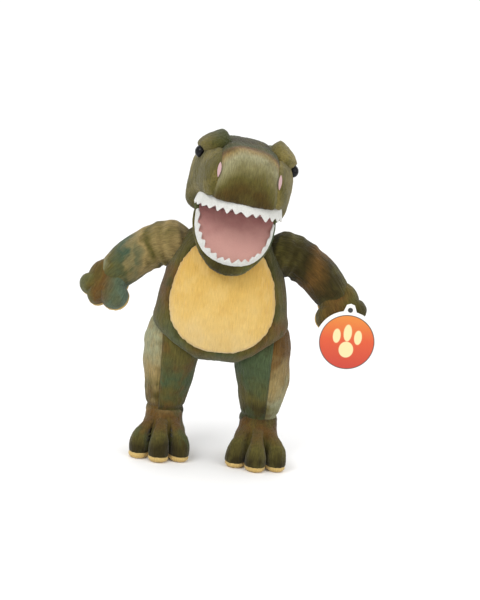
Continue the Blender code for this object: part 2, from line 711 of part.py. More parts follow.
# The tail's middle line after its ball: Y, Z and radius.
TAIL_LINE = (
    (0.068, 0.152, 0.0240), (0.090, 0.147, 0.0220), (0.112, 0.141, 0.0195),
    (0.132, 0.136, 0.0150), (0.148, 0.133, 0.0100), (0.156, 0.132, 0.0055),
)
TAIL_END = (0.0, 0.159, 0.1315)
tail = pivot("tail_joint", TAIL)
rings = ball_cap(TAIL, TAIL_RADIUS, -Y, X, Z, (28, 55, 80, 105))
rings += [oval(Vector((0, y, z)), X, Z, radius, radius) for y, z, radius in TAIL_LINE]
rings.append([Vector(TAIL_END)])
tail_mesh = loft("tail", [[point - TAIL for point in ring] for ring in rings])
opening = cylinder("tail_opening", 0.015, 0.01, 0.05, tail)
opening.matrix_local = aimed(Vector(), -Y)
boolean(cloth("tail_skin", tail_mesh, olive, tail), "DIFFERENCE", opening)
stuffing("tail_stuffing", tail_mesh, tail)

# --- Hang tag -----------------------------------------------------------------------------------

hand_mesh, arm = hands["left"]
TAG_HOLE = Vector((0.150, 0.0, 0.205))
PIN_RADIUS, TAG_HOLE_RADIUS, TAG_TAB_RADIUS = 0.0009, 0.0022, 0.0075
front = min(vertex.co.y for vertex in hand_mesh.vertices) + arm.location.y
tag_back = front - 0.0025  # the card hangs clear of the back of the hand
skin_y = hit(hand_mesh, Vector((TAG_HOLE.x, -0.2, TAG_HOLE.z)) - arm.location, Y)[0].y + arm.location.y
pin_place = Vector((TAG_HOLE.x, tag_back - TAG_THICKNESS, TAG_HOLE.z)) - arm.location
length = skin_y - (tag_back - TAG_THICKNESS)
stand = pivot("tag_pin_place", Vector(), aimed(pin_place, -Y), arm)
head_low, bar_top = 0.0004, -length - CLOTH - 0.007
turned("tag_pin", [
    (0, head_low + 0.0012), (0.0022, head_low + 0.001), (0.003, head_low), (PIN_RADIUS, head_low),
    (PIN_RADIUS, bar_top), (0.0028, bar_top), (0.0028, bar_top - 0.001), (0, bar_top - 0.001),
], black, stand, 12)
pin_hole = cylinder("pin_hole", 0.0014, bar_top - 0.004, 0.01, stand, count=12)
pin_pocket = cylinder("pin_pocket", 0.0036, bar_top - 0.0025, 0.01, stand, count=12)
boolean(bpy.data.objects["left_hand_back"], "DIFFERENCE", pin_hole)
boolean(bpy.data.objects["left_arm_stuffing"], "DIFFERENCE", pin_pocket)

tag = pivot("tag_joint", Vector((TAG_HOLE.x, tag_back, TAG_HOLE.z)), aimed(Vector(), -Y))
card_circles = ((0, 0, TAG_RADIUS), (0, TAG_DROP, TAG_TAB_RADIUS))
outline = [Vector((x, y - TAG_DROP, 0)) for x, y in lobed(card_circles, 0, Vector((0, 0)), 60)]
disc = add("hang_tag", pushed("hang_tag", outline, Z * TAG_THICKNESS), card, tag)
boolean(disc, "DIFFERENCE", cylinder("tag_hole", TAG_HOLE_RADIUS, -0.01, 0.01, tag, count=16))

# The origin is the middle of the whole toy's footprint on the floor, so everything moves there last.
for made in bpy.data.objects:
    if made.parent is None:
        made.location -= FOOTPRINT_MIDDLE
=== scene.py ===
"""A stuffed plush dinosaur with jointed head, jaw, arms, legs and tail, and a card tag on one hand.
Metres, +Z up, facing -Y. Shapes are given in the body's own frame, and are moved to the row's
frame when a mesh is made."""

import math

import bpy
import numpy as np
from mathutils import Matrix, Vector


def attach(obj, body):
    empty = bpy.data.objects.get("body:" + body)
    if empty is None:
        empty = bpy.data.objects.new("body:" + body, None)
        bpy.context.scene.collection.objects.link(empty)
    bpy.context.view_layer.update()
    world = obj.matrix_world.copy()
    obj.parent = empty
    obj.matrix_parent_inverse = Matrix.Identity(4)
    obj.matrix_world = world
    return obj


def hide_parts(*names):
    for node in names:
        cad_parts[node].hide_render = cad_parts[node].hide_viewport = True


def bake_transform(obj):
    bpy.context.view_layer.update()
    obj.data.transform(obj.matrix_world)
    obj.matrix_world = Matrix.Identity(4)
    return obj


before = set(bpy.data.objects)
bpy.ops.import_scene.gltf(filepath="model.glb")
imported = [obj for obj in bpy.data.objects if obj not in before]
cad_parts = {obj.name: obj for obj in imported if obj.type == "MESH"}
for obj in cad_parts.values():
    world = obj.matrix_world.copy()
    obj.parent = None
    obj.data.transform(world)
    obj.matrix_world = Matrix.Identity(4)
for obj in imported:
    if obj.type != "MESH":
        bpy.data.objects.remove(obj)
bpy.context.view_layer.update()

# --- Body: a stuffed bag of short-pile plush, sewn from mottled olive panels over the back and
# sides. The belly seam is a shallow groove in it, and over each thigh it ends in a slanting crease
# where the leg is sewn in.

TOY_MIDDLE = np.array((0.0070, 0.0239, 0.0))  # the row's origin on the floor, in the body's frame
SIDES = (("left", 1), ("right", -1))
CLOUD_VALUES = 8192  # random values that a noise draws on, by a hash of the lattice corner


def cubic(rows, count):
    """The rows of a table joined by cubic curves, at even steps from the first row to the last. A
    curve's slope at a row is the slope between that row's two neighbours."""
    rows = np.asarray(rows, float)
    slope = np.gradient(rows, axis=0)
    at = np.linspace(0, len(rows) - 1, count)
    k = np.minimum(at.astype(int), len(rows) - 2)
    t = (at - k)[:, None]
    start = rows[k] * (1 + 2 * t) * (1 - t) ** 2 + slope[k] * t * (1 - t) ** 2
    return start + rows[k + 1] * t * t * (3 - 2 * t) + slope[k + 1] * t * t * (t - 1)


def circle(count):
    """Angles at even steps round a circle."""
    return np.linspace(0, math.tau, count, endpoint=False)


def joined(x, y, z):
    """Points from their coordinates, which are spread over one grid."""
    return np.stack(np.broadcast_arrays(x, y, z), -1)


def unit(vectors):
    return vectors / np.linalg.norm(vectors, axis=-1, keepdims=True)


def bell(distance, width):
    """1 at no distance, 1 / e at this width, and nearly 0 beyond twice it."""
    return np.exp(-((distance / width) ** 2))


def arch(angle, power):
    """Cosine and sine, each raised to 2 / power with its sign kept: a unit superellipse."""
    cosine, sine = np.cos(angle), np.sin(angle)
    return (
        np.sign(cosine) * np.abs(cosine) ** (2 / power),
        np.sign(sine) * np.abs(sine) ** (2 / power),
    )


def eased(share):
    """0 below 0, 1 above 1, and 3 s^2 - 2 s^3 between."""
    share = np.clip(share, 0, 1)
    return share * share * (3 - 2 * share)


def clouds(points, size, seed):
    """Smooth noise between -1 and 1: a random value at each corner of a lattice with this cell
    size, blended between the eight corners round a point with eased weights."""
    values = np.random.default_rng(seed).uniform(-1, 1, CLOUD_VALUES)
    cell = points / size
    low = np.floor(cell).astype(np.int64)
    part = eased(cell - low)
    total = np.zeros(points.shape[:-1])
    for corner in np.ndindex(2, 2, 2):
        a, b, c = np.moveaxis(low + corner, -1, 0)
        share = np.where(corner, part, 1 - part).prod(-1)
        total += share * values[(a * 73856093 ^ b * 19349663 ^ c * 83492791) % CLOUD_VALUES]
    return total


def outward(grid, wrap=True):
    """Unit normals of a grid of points, and their sign: the cross product of the steps along its
    columns and its rows, turned the way that makes the volume inside positive."""
    along = np.gradient(grid, axis=0)
    around = np.roll(grid, -1, 1) - np.roll(grid, 1, 1) if wrap else np.gradient(grid, axis=1)
    normal = np.cross(around, along)
    sign = np.sign((normal * (grid - grid.mean((0, 1)))).sum())
    length = np.linalg.norm(normal, axis=-1, keepdims=True)
    return sign * normal / np.maximum(length, 1e-8), sign


def fluffed(grid, nap, wrap=True, lumps=0.0010, pile=0.00035, seed=1):
    """The grid moved along its normals by soft lumps of stuffing, 30 mm across, and by tufts of
    pile, which are four times as long as they are wide along the nap."""
    lie = nap * (1, 1, 0.25)
    tuft = clouds(lie, 0.0017, seed) + 0.8 * clouds(lie, 0.0042, seed + 1)
    lump = clouds(grid, 0.030, seed + 2)
    return grid + outward(grid, wrap)[0] * (lump * lumps + tuft * pile)[..., None]


def closed(grid):
    """The grid with its first and last rings carried inwards to their middles in four steps."""
    steps = np.array((0.85, 0.55, 0.25, 0.0))[:, None, None]
    first, last = (ring.mean(0) + (ring - ring.mean(0)) * steps for ring in (grid[0], grid[-1]))
    return np.concatenate([first[::-1], grid, last])


def sewn(name, grid, nap, wrap=True):
    """A mesh with a face between each four neighbours in a grid of points. A row that has shrunk to
    one point closes with triangles. The nap, lengthways along its Z, is kept as an attribute."""
    rows, columns = grid.shape[:2]
    grid = grid - TOY_MIDDLE
    index = np.arange(rows * columns).reshape(rows, columns)
    if outward(grid, wrap)[1] < 0:
        index = index[:, ::-1].copy()
    low, high = 0, rows - 1
    faces = []
    for row, near in ((0, 1), (rows - 1, rows - 2)):
        if np.ptp(grid[row], axis=0).max() > 1e-5:
            continue
        grid[row] = grid[near].mean(0)
        index[row] = index[row, 0]
        ring = index[near] if row else index[near][::-1]
        pairs = np.stack([ring, np.roll(ring, -1)], -1)[: None if wrap else -1]
        faces.append(np.column_stack([pairs, np.full(len(pairs), index[row, 0])]))
        low, high = (1, high) if row == 0 else (low, rows - 2)
    here = index[low : high + 1]
    there = np.roll(here, -1, 1)
    if not wrap:
        here, there = here[:, :-1], there[:, :-1]
    quads = np.stack([here[:-1], there[:-1], there[1:], here[1:]], -1).reshape(-1, 4)
    used, again = np.unique(
        np.concatenate([quads.ravel(), *(tris.ravel() for tris in faces)]), return_inverse=True
    )
    quads, again = again[: quads.size].reshape(-1, 4), again[quads.size :].reshape(-1, 3)
    mesh = bpy.data.meshes.new(name)
    mesh.from_pydata(grid.reshape(-1, 3)[used].tolist(), [], quads.tolist() + again.tolist())
    lie = mesh.attributes.new("nap", "FLOAT_VECTOR", "POINT")
    lie.data.foreach_set("vector", nap.reshape(-1, 3)[used].astype(np.float32).ravel())
    mesh.shade_smooth()
    made = bpy.data.objects.new(name, mesh)
    bpy.context.scene.collection.objects.link(made)
    return made


def lying(angle, radius, along):
    """Where a point lies on a straightened tube: round its axis, and along it. Pile runs along."""
    return joined(np.cos(angle) * radius, np.sin(angle) * radius, along)


def feed(node, sockets):
    """Gives each of a node's inputs a value, or a link from a Shade."""
    for key, value in sockets.items():
        if isinstance(value, Shade):
            value.tree.links.new(value.socket, node.inputs[key])
        else:
            node.inputs[key].default_value = value


class Shade:
    """A socket of a material's nodes. A sign between it and another, or a number, is a Math
    node."""

    def __init__(self, tree, socket):
        self.tree, self.socket = tree, socket

    def node(self, kind, settings, sockets, out=0):
        """An output of a new node in the same material, with these settings and inputs."""
        made = self.tree.nodes.new("ShaderNode" + kind)
        for key, value in settings.items():
            setattr(made, key, value)
        feed(made, sockets)
        return Shade(self.tree, made.outputs[out])

    def sum(self, operation, first, second):
        return self.node("Math", {"operation": operation}, {0: first, 1: second})

    def __add__(self, other):
        return self.sum("ADD", self, other)

    def __sub__(self, other):
        return self.sum("SUBTRACT", self, other)

    def __rsub__(self, other):
        return self.sum("SUBTRACT", other, self)

    def __mul__(self, other):
        return self.sum("MULTIPLY", self, other)

    def __truediv__(self, other):
        return self.sum("DIVIDE", self, other)

    __radd__, __rmul__ = __add__, __mul__

    def between(self, low, high):
        """0 at low and below, 1 at high and above, eased between."""
        settings = {"interpolation_type": "SMOOTHSTEP"}
        return self.node("MapRange", settings, {"Value": self, "From Min": low, "From Max": high})

    def along(self, axis):
        """One coordinate of a place."""
        return self.node("SeparateXYZ", {}, {0: self}, axis)

    def grain(self, stretch, detail=2.0, offset=0.0):
        """Noise about 0.5 at a place, this many cells to the metre along each axis."""
        moved = {"Vector": self, "Location": (offset, 0, 0), "Scale": stretch}
        moved = self.node("Mapping", {}, moved)
        return self.node("TexNoise", {}, {"Vector": moved, "Scale": 1.0, "Detail": detail})

    def ramped(self, stops):
        """This value's colour on a ramp of stops."""
        made = self.node("ValToRGB", {}, {"Fac": self})
        ramp = made.socket.node.color_ramp.elements
        for end in (0, -1):
            ramp[end].position, ramp[end].color = stops[end][0], (*stops[end][1], 1)
        for place, colour in stops[1:-1]:
            ramp.new(place).color = (*colour, 1)
        return made

    def mixed(self, share, other, way="MIX"):
        """This colour, mixed with this share of another."""
        settings = {"data_type": "RGBA", "blend_type": way}
        return self.node("Mix", settings, {"Factor": share, 6: self, 7: other}, 2)

    def toned(self, tone):
        """This colour times a brightness."""
        bright = self.node("CombineColor", {}, {0: tone, 1: tone, 2: tone})
        return self.mixed(1.0, bright, "MULTIPLY")

    def relief(self, strength, distance):
        """The surface's normal, with this value as its height."""
        return self.node("Bump", {}, {"Height": self, "Strength": strength, "Distance": distance})


def srgb(red, green, blue):
    """A colour from its sRGB values up to 255."""
    return tuple((c / 255) ** 2.2 for c in (red, green, blue))


OLIVE, DARK, TEAL = srgb(84, 78, 40), srgb(50, 44, 20), srgb(68, 80, 54)
BROWN, TAN, SAGE = srgb(92, 68, 34), srgb(138, 120, 78), srgb(136, 136, 106)
MOSS, HAY = srgb(60, 63, 32), srgb(116, 105, 60)


def material(name):
    """A new material: its shader node, and a point's place, to make its other nodes from."""
    made = bpy.data.materials.new(name)
    made.use_nodes = True
    place = made.node_tree.nodes.new("ShaderNodeTexCoord").outputs["Object"]
    return made, made.node_tree.nodes["Principled BSDF"], Shade(made.node_tree, place)


def mottled(name, cells, detail, dark, light, roughness):
    """A plain material, cloudy between two close colours."""
    made, shader, place = material(name)
    colour = place.grain((cells, cells, cells), detail).ramped(((0.3, dark), (0.7, light)))
    feed(shader, {"Base Color": colour, "Roughness": roughness})
    return made


def plush(name, way, stops, patch, seed, sheen=0.14, mottle=0.55, deep=DARK, streak=0.85,
          wavy=0.75):
    """Short-pile plush. Colours run in bands along a direction, given as (x, y, z) and the first
    and last distance, with wavy edges. Where the direction is None they run along the nap instead.
    Cloudy patches of another dye lie over them, and fine streaks along the nap lighten and darken
    both, as pile does where it parts."""
    made, shader, place = material(name)
    lie = place.node("Attribute", {"attribute_name": "nap"}, {}, 1)
    wave = place.grain((34, 34, 34), 2.5, seed * 3.7)
    spots = place.grain((52, 52, 44), 3.0, seed * 5.3 + 2)
    blot = place.grain((95, 95, 80), 3.0, seed * 2.1 + 7)
    hairs = lie.grain((800, 800, 110), 2.0, seed)
    fuzz = lie.grain((2600, 2600, 700), 2.0, seed + 5)
    direction, first, last = way
    if direction is None:
        reach = lie.along(2)
    else:
        reach = place.node("VectorMath", {"operation": "DOT_PRODUCT"}, {0: place, 1: direction}, 1)
    colour = ((reach - first) / (last - first) + (wave - 0.5) * wavy).ramped(stops)
    colour = colour.mixed(spots.between(0.50, 0.66) * mottle, (*patch, 1))
    colour = colour.mixed(blot.between(0.54, 0.70) * 0.45 * mottle, (*deep, 1))
    pile = (hairs - 0.5) * 1.5 + (fuzz - 0.5) * 0.9
    feed(shader, {
        "Base Color": colour.toned(1.0 + pile * streak), "Normal": pile.relief(0.6, 0.0011),
        "Roughness": 0.92, "Sheen Weight": sheen, "Sheen Roughness": 0.45,
        "Specular IOR Level": 0.15,
    })
    return made


def short_yellow(name, low, high, stops, seed):
    """The short yellow plush of the palms and soles, with its bands by height."""
    return plush(name, ((0, 0, 1), low, high), stops, srgb(182, 150, 86), seed, 0.3, 0.3,
                 srgb(176, 142, 80), 0.4)


# Each row: height, half width, front and back. The first and last are the closed ends.
BODY_ROWS = (
    (0.1185, 0, 0.002, 0.002), (0.122, 0.034, -0.022, 0.026), (0.130, 0.058, -0.040, 0.040),
    (0.142, 0.074, -0.051, 0.050), (0.160, 0.080, -0.059, 0.056), (0.180, 0.0795, -0.063, 0.060),
    (0.205, 0.076, -0.062, 0.060), (0.228, 0.0705, -0.060, 0.057), (0.246, 0.066, -0.055, 0.054),
    (0.262, 0.058, -0.047, 0.050), (0.275, 0.046, -0.036, 0.042), (0.284, 0.030, -0.024, 0.030),
    (0.2870, 0, 0.003, 0.003),
)
BODY_POWER = 2.2
BELLY_MIDDLE, BELLY_HALF, BELLY_UP, BELLY_DOWN, BELLY_POWER = 0.194, 0.0615, 0.082, 0.056, 2.1
BELLY_ROUND = 0.068  # the belly's radius on average, to measure from its seam by
GROOVE_WIDE, GROOVE_DEEP = 0.0030, 0.0026
CREASE_SIDE, CREASE_UP, CREASE_SLOPE = 0.040, 0.138, 0.66  # a point on the hip crease
PUFF_OVER, PUFF_WIDE, PUFF_PROUD = 0.007, 0.008, 0.0016  # height over the crease, and size
HIP_SIDE, HIP_UP, HIP_TUCK = 0.056, 0.142, 0.42  # what the body under a crease is drawn to

table = cubic(BODY_ROWS, 190)
height, half, front, back = table.T[:, :, None]
angle = circle(300)
across, deep = arch(angle, BODY_POWER)
half = np.maximum(half, 0)
body = joined(half * across, (front + back) / 2 + (back - front) / 2 * deep, height)
x, y, z = np.moveaxis(body, -1, 0)
# The belly seam: a groove where a point's superellipse measure about the belly's middle is 1.
up = (z - BELLY_MIDDLE) / np.where(z > BELLY_MIDDLE, BELLY_UP, BELLY_DOWN)
ring = ((np.abs(x) / BELLY_HALF) ** BELLY_POWER + np.abs(up) ** BELLY_POWER) ** (1 / BELLY_POWER)
groove = np.where(y < 0, bell((ring - 1) * BELLY_ROUND, GROOVE_WIDE), 0)
# The hip crease: a slanting plane over each thigh, a puffed edge above it, and pulled in below it.
below = CREASE_UP + CREASE_SLOPE * (np.abs(x) - CREASE_SIDE) - z
out = eased((np.abs(x) - 0.020) / 0.014)
puff = bell(below + PUFF_OVER, PUFF_WIDE) * out
body = body + outward(body)[0] * (PUFF_PROUD * puff - GROOVE_DEEP * groove)[..., None]
hip = joined(np.sign(x) * HIP_SIDE, 0.0, HIP_UP)
body = body + (hip - body) * (HIP_TUCK * eased(below / 0.007) * out)[..., None]
nap = lying(angle, 0.072, table[:, 0][:, None])
body_plush = sewn("body_plush", fluffed(body, nap, lumps=0.0014, seed=11), nap)
body_plush.data.materials.append(
    plush("olive_body_plush", ((0.35, 0, 1), 0.11, 0.29),
          ((0.0, srgb(76, 82, 56)), (0.2, OLIVE), (0.45, BROWN), (0.7, OLIVE), (1.0, DARK)), MOSS, 3)
)
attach(body_plush, "body")
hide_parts("body_skin", "body_stuffing")

# --- Belly: one rounded panel of longer yellow plush, let into the front of the body. Its edge is
# turned in along the seam, and a little pile stands over the seam.

def body_depth(x, z):
    """The body's front at a place: its superellipse solved for Y at that height."""
    half, front, back = (np.interp(z, table[:, 0], table[:, k]) for k in (1, 2, 3))
    share = 1 - np.minimum(np.abs(x) / np.maximum(half, 1e-4), 1) ** BODY_POWER
    return (front + back) / 2 - (back - front) / 2 * share ** (1 / BODY_POWER)


angle = circle(420)
across, up = arch(angle, BELLY_POWER)
OUTSIDE, INSIDE = 90, 12  # rings on the panel's pile and on its back
reach = np.concatenate([np.linspace(0, 1, OUTSIDE), np.linspace(0.985, 0, INSIDE)])[:, None]
shown = (np.arange(OUTSIDE + INSIDE) < OUTSIDE)[:, None]
ragged = 1 + 0.010 * clouds(joined(across, up, 0.0), 0.045, 21)
x = reach * across * BELLY_HALF * ragged
z = BELLY_MIDDLE + reach * up * np.where(up > 0, BELLY_UP, BELLY_DOWN) * ragged
proud = np.where(shown, -0.0014 + 0.0034 * eased((1 - reach) / 0.055), -0.0030)
belly = joined(x, body_depth(x, z) - proud, z)
nap = joined(x, 0.0, z)
belly_plush = sewn("belly_plush", fluffed(belly, nap, lumps=0.0012, pile=0.0004, seed=31), nap)
belly_plush.data.materials.append(
    plush("yellow_belly_plush", ((0.1, 0, 1), 0.14, 0.27),
          ((0.0, srgb(206, 178, 120)), (0.35, srgb(202, 168, 98)), (0.7, srgb(198, 160, 84)),
           (1.0, srgb(194, 152, 78))), srgb(208, 176, 108), 5, 0.3, 0.5, srgb(188, 144, 72), 0.28)
)
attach(belly_plush, "body")
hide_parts("belly_panel")

# --- Neck: a short stuffed collar under the head, which the head and the body are both sewn to.

NECK = np.array((0.0, 0.002, 0.297))
NECK_ROWS = (
    (0.266, 0.0), (0.268, 0.020), (0.274, 0.036), (0.286, 0.0400), (0.298, 0.0385), (0.310, 0.036),
    (0.322, 0.026), (0.327, 0.0),
)

height, radius = np.maximum(cubic(NECK_ROWS, 60), 0).T[..., None]
angle = circle(180)
collar = joined(
    radius * 1.02 * np.cos(angle), NECK[1] + 0.004 + radius * 0.92 * np.sin(angle), height
)
nap = lying(angle, 0.038, height)
neck_plush = sewn("neck_plush", fluffed(collar, nap, seed=41), nap)
neck_plush.data.materials.append(
    plush("neck_plush", ((0, 0, 1), 0.26, 0.33), ((0, DARK), (0.5, OLIVE), (1, BROWN)), TEAL, 7)
)
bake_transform(neck_plush)
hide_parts("neck_skin", "neck_stuffing")

# --- Head: a middle strip from the back of the neck over the crown and the snout down to the lip,
# between two side panels. It is sewn along two seams, and stuffed firmly.

HEAD_ROWS = (  # place along Y from the back, half width, top and bottom, in the head's frame
    (0.0530, 0, 0.044, 0.044), (0.050, 0.022, 0.062, 0.026), (0.044, 0.038, 0.076, 0.016),
    (0.028, 0.052, 0.087, 0.004), (0.004, 0.0585, 0.0915, -0.0045), (-0.020, 0.060, 0.0920, -0.001),
    (-0.040, 0.0575, 0.0895, 0.013), (-0.060, 0.054, 0.0865, 0.0185),
    (-0.080, 0.051, 0.0825, 0.0205), (-0.096, 0.046, 0.0745, 0.0210),
    (-0.106, 0.036, 0.065, 0.0235), (-0.112, 0.021, 0.055, 0.031), (-0.1145, 0, 0.046, 0.046),
)
HEAD_WIDEST, HEAD_MIDDLE = 0.38, (-0.030, 0.040)  # widest at this share of its height
HEAD_REACH = 0.14  # farther than the head's surface is from its middle
HALVINGS = 26
HEAD_TILT, HEAD_TURN, JAW_OPEN = np.radians((7, 6, 60))
JAW_HINGE = np.array((0.0, -0.045, 0.004))
# Round the middle strip in degrees, from straight forward over the crown: its half width there.
STRIP = ((-62, 0.030), (-16, 0.043), (-11, 0.037), (8, 0.0345), (40, 0.034), (75, 0.031),
         (100, 0.026), (150, 0.023), (250, 0.023), (298, 0.030))
LIP, NAPE = -13, 252  # degrees round the strip, where it ends over the mouth and at the neck
HEM_WIDE = 0.0028


def turning(angle, axis):
    """The matrix of a turn by this angle about the X, Y or Z axis."""
    a, b = [k for k in range(3) if k != axis]
    turn = np.eye(3)
    turn[a, a] = turn[b, b] = math.cos(angle)
    turn[b, a] = math.sin(angle) * (-1 if axis == 1 else 1)
    turn[a, b] = -turn[b, a]
    return turn


HEAD_TURNED = turning(HEAD_TURN, 2) @ turning(HEAD_TILT, 1)
JAW_TURNED = HEAD_TURNED @ turning(JAW_OPEN, 0)


def on_head(points):
    """Points of the head's frame in the body's frame."""
    return points @ HEAD_TURNED.T + NECK


def on_jaw(points):
    """Points of the jaw's frame, from its hinge, in the body's frame."""
    return points @ JAW_TURNED.T + on_head(JAW_HINGE)


head_table = cubic(HEAD_ROWS, 600)


def head_row(y):
    """Half width, top and bottom of the head at places along Y."""
    half, top, bottom = (np.interp(-y, -head_table[:, 0], head_table[:, k]) for k in (1, 2, 3))
    return np.maximum(half, 1e-5), top, bottom


def head_surface(start, way):
    """Where a line leaves the head, halving the step between inside and outside. A point is inside
    where its superellipse measure in the head's cross-section is under 1. The cross-section is
    squarer below than above, except at the nape, and rounder on the snout than on the crown."""
    low, high = np.zeros(start.shape[:-1]), np.full(start.shape[:-1], HEAD_REACH)
    for _ in range(HALVINGS):
        middle = (low + high) / 2
        x, y, z = np.moveaxis(start + way * middle[..., None], -1, 0)
        half, top, bottom = head_row(y)
        widest = bottom + HEAD_WIDEST * (top - bottom)
        above = z > widest
        reach = np.maximum(np.where(above, top - widest, widest - bottom), 1e-5)
        behind = eased((y + 0.090) / 0.045)  # from the snout to the crown
        nape = eased(y / 0.045)
        bend = np.where(above, 2.1 + 0.65 * behind, 3.4 + 1.1 * behind - 2.0 * nape)
        inside = (np.abs(x) / half) ** bend + (np.abs(z - widest) / reach) ** bend < 1
        low, high = np.where(inside, middle, low), np.where(inside, high, middle)
    return start + way * low[..., None]


def head_skin(x, round_, out=0.0, side=1):
    """The head's surface, from lines that start at X on the axis through its middle, go round it by
    an angle from straight forward over the crown, and lean out to the side by another."""
    x, round_, out = np.broadcast_arrays(x, round_, out)
    lean, rise = np.sin(out) * side, np.cos(out)
    way = joined(lean, -rise * np.cos(round_), rise * np.sin(round_))
    return head_surface(joined(x, *HEAD_MIDDLE), way)


def strip_half(round_):
    """Half the middle strip's width at an angle round it."""
    first = STRIP[0][0]
    degrees = (np.degrees(round_) - first) % 360 + first
    return np.interp(degrees, *np.transpose(STRIP))


def hem(from_edge, depth=0.0020):
    """How far a panel dips towards its seam, by the distance from its edge."""
    return depth * bell(from_edge, HEM_WIDE)


def folded(grid, middle, share=0.07):
    """The grid with its edges turned in towards a middle line, as a seam allowance is."""
    first, last = (edge + (middle - edge) * share for edge in (grid[:, :1], grid[:, -1:]))
    return np.concatenate([first, grid, last], 1)


def lined(made, thickness=0.0016):
    """The cloth's own thickness, inwards."""
    step = made.modifiers.new("cloth", "SOLIDIFY")
    step.thickness = thickness
    step.offset = -1
    return made


COLUMNS = 90
BAND_BOW = 22  # the colour bands, and the painted highlight among them, bow along the nap by this times x squared
round_ = np.radians(np.linspace(LIP, NAPE, 300))[:, None]
share = np.linspace(-1, 1, COLUMNS)
x = strip_half(round_) * share
strip = head_skin(x, round_)
from_edge = (1 - np.abs(share)) * strip_half(round_)
lip_dip = 0.0022 * bell(np.degrees(round_) - LIP, 1.6)
strip = strip - outward(strip, wrap=False)[0] * (hem(from_edge) + lip_dip)[..., None]
steps = np.linalg.norm(np.diff(strip[:, COLUMNS // 2], axis=0), axis=-1)
nap = joined(x, 0.0, np.cumsum(np.r_[0, steps])[:, None] + BAND_BOW * x * x)
strip = fluffed(strip, nap, wrap=False, lumps=0.0012, seed=51)
middle = np.array((0, *HEAD_MIDDLE))
strip, nap = folded(strip, middle), folded(nap, nap.mean((0, 1)), 0)
strip = np.concatenate([strip[:1] + (middle - strip[:1]) * 0.05, strip])
nap = np.concatenate([nap[:1], nap])
head_strip = lined(sewn("head_strip_plush", on_head(strip), nap, wrap=False))
# The colours run from dark brown at the lip to a pale sage band over the upper front of the snout,
# then brown and moss over the crown. The pale band is partly the plush's own paler colour and
# partly a painted highlight on the top of the snout's dome.
head_strip.data.materials.append(
    plush("snout_plush", (None, 0.0, 0.17),
          ((0.0, srgb(56, 45, 18)), (0.14, srgb(70, 57, 25)), (0.22, OLIVE),
           (0.29, srgb(112, 106, 70)), (0.42, srgb(138, 134, 102)), (0.505, srgb(130, 110, 66)),
           (0.555, BROWN), (0.62, MOSS), (0.80, DARK), (1.0, MOSS)),
          OLIVE, 9, 0.14, 0.4, BROWN, 0.85, 0.16)
)
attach(head_strip, "head")
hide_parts("head_gusset", "head_stuffing")

CHEEK_DYES = {
    "left": (((1, 0, 0), 0.028, 0.062), ((0, srgb(92, 106, 84)), (0.2, srgb(88, 98, 72)),
             (0.4, HAY), (0.7, OLIVE), (1, HAY)), HAY),
    "right": (((0, 0.5, 0.86), 0.28, 0.38), ((0, OLIVE), (0.3, HAY), (0.55, OLIVE),
              (0.8, srgb(128, 98, 54)), (1, OLIVE)), HAY),
}
for label, side in SIDES:
    round_ = circle(420)
    out = np.radians(90 * np.linspace(0, 1, 110) ** 1.15)[:, None]
    panel = head_skin(side * strip_half(round_), round_, out, side)
    from_edge = np.linalg.norm(panel - panel[:1], axis=-1)
    panel = panel - outward(panel)[0] * hem(from_edge)[..., None]
    x, y, z = np.moveaxis(panel, -1, 0)
    nap = joined(x, z * 0.7 - y * 0.7, -y * 0.7 - z * 0.7)  # the pile lies back and down
    panel = fluffed(panel, nap, lumps=0.0013, seed=61 + side)
    inner = panel[:1] + (middle - panel[:1]) * 0.07
    panel, nap = np.concatenate([inner, panel]), np.concatenate([nap[:1], nap])
    made = lined(sewn(f"{label}_head_plush", on_head(panel), nap))
    way, stops, patch = CHEEK_DYES[label]
    made.data.materials.append(
        plush(f"{label}_cheek_plush", way, stops, patch, 12 + side, 0.14, 0.6, MOSS)
    )
    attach(made, "head")
    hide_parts(f"{label}_head_panel")

# --- Brows: a stuffed fold over each eye, pinched up to a crest, that leans in over the crown and
# runs out into the head in front and behind.

BROW = np.array((0.0385, -0.0340, 0.0800))
BROW_WIDE, BROW_LONG, BROW_HIGH = 0.0180, 0.0280, 0.0165  # half sizes
BROW_TURNED = turning(-0.22, 2) @ turning(-0.10, 0)

for label, side in SIDES:
    angle = circle(110)
    along = np.linspace(-math.pi / 2, math.pi / 2, 110)[:, None]
    across, up = arch(angle, 1.65)
    swell = np.cos(along) ** 1.1
    ridge = joined(BROW_WIDE * swell * across, BROW_LONG * np.sin(along), BROW_HIGH * swell * up)
    ridge[..., 0] -= 0.35 * np.maximum(ridge[..., 2], 0) - 0.002
    pinch = bell(ridge[..., 0] + 0.0045, 0.0040) * swell * (up > 0)
    ridge[..., 2] += 0.0022 * pinch - 0.10 * np.maximum(ridge[..., 0], 0)
    nap = ridge[..., [0, 2, 1]]
    ridge = fluffed(ridge, nap, lumps=0.0014, seed=71 + side)
    ridge = (ridge @ BROW_TURNED.T + BROW) * (side, 1, 1)
    made = sewn(f"{label}_brow_plush", on_head(ridge), nap)
    way = (side, -0.5, -0.3), -0.060 - 0.007 * side, -0.020 - 0.007 * side
    made.data.materials.append(
        plush(f"{label}_brow_plush", way, ((0, MOSS), (0.4, OLIVE), (1, HAY)), MOSS, 15 + side)
    )
    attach(made, "head")
    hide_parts(f"{label}_brow")

# --- Eyes: glossy black domes with a stem through the cloth, held by a plastic washer inside.

EYE_FROM, EYE_RADIUS = np.array((0.0, -0.040, 0.068)), 0.0073
EYE_OVER, EYE_UNDER, EYE_PROUD = 0.0064, 0.0040, 0.0016  # heights from its rim, and the rim's

eye_black, shader, place = material("eye_black")
feed(shader, {
    "Base Color": (0.004, 0.004, 0.005, 1), "Coat Weight": 0.15, "Specular IOR Level": 0.10,
    "Roughness": 0.05 + place.grain((900, 900, 900), 2.0) * 0.10,
})
washer_grey = mottled("washer_grey", 300, 3.0, srgb(178, 178, 172), srgb(198, 198, 192), 0.45)

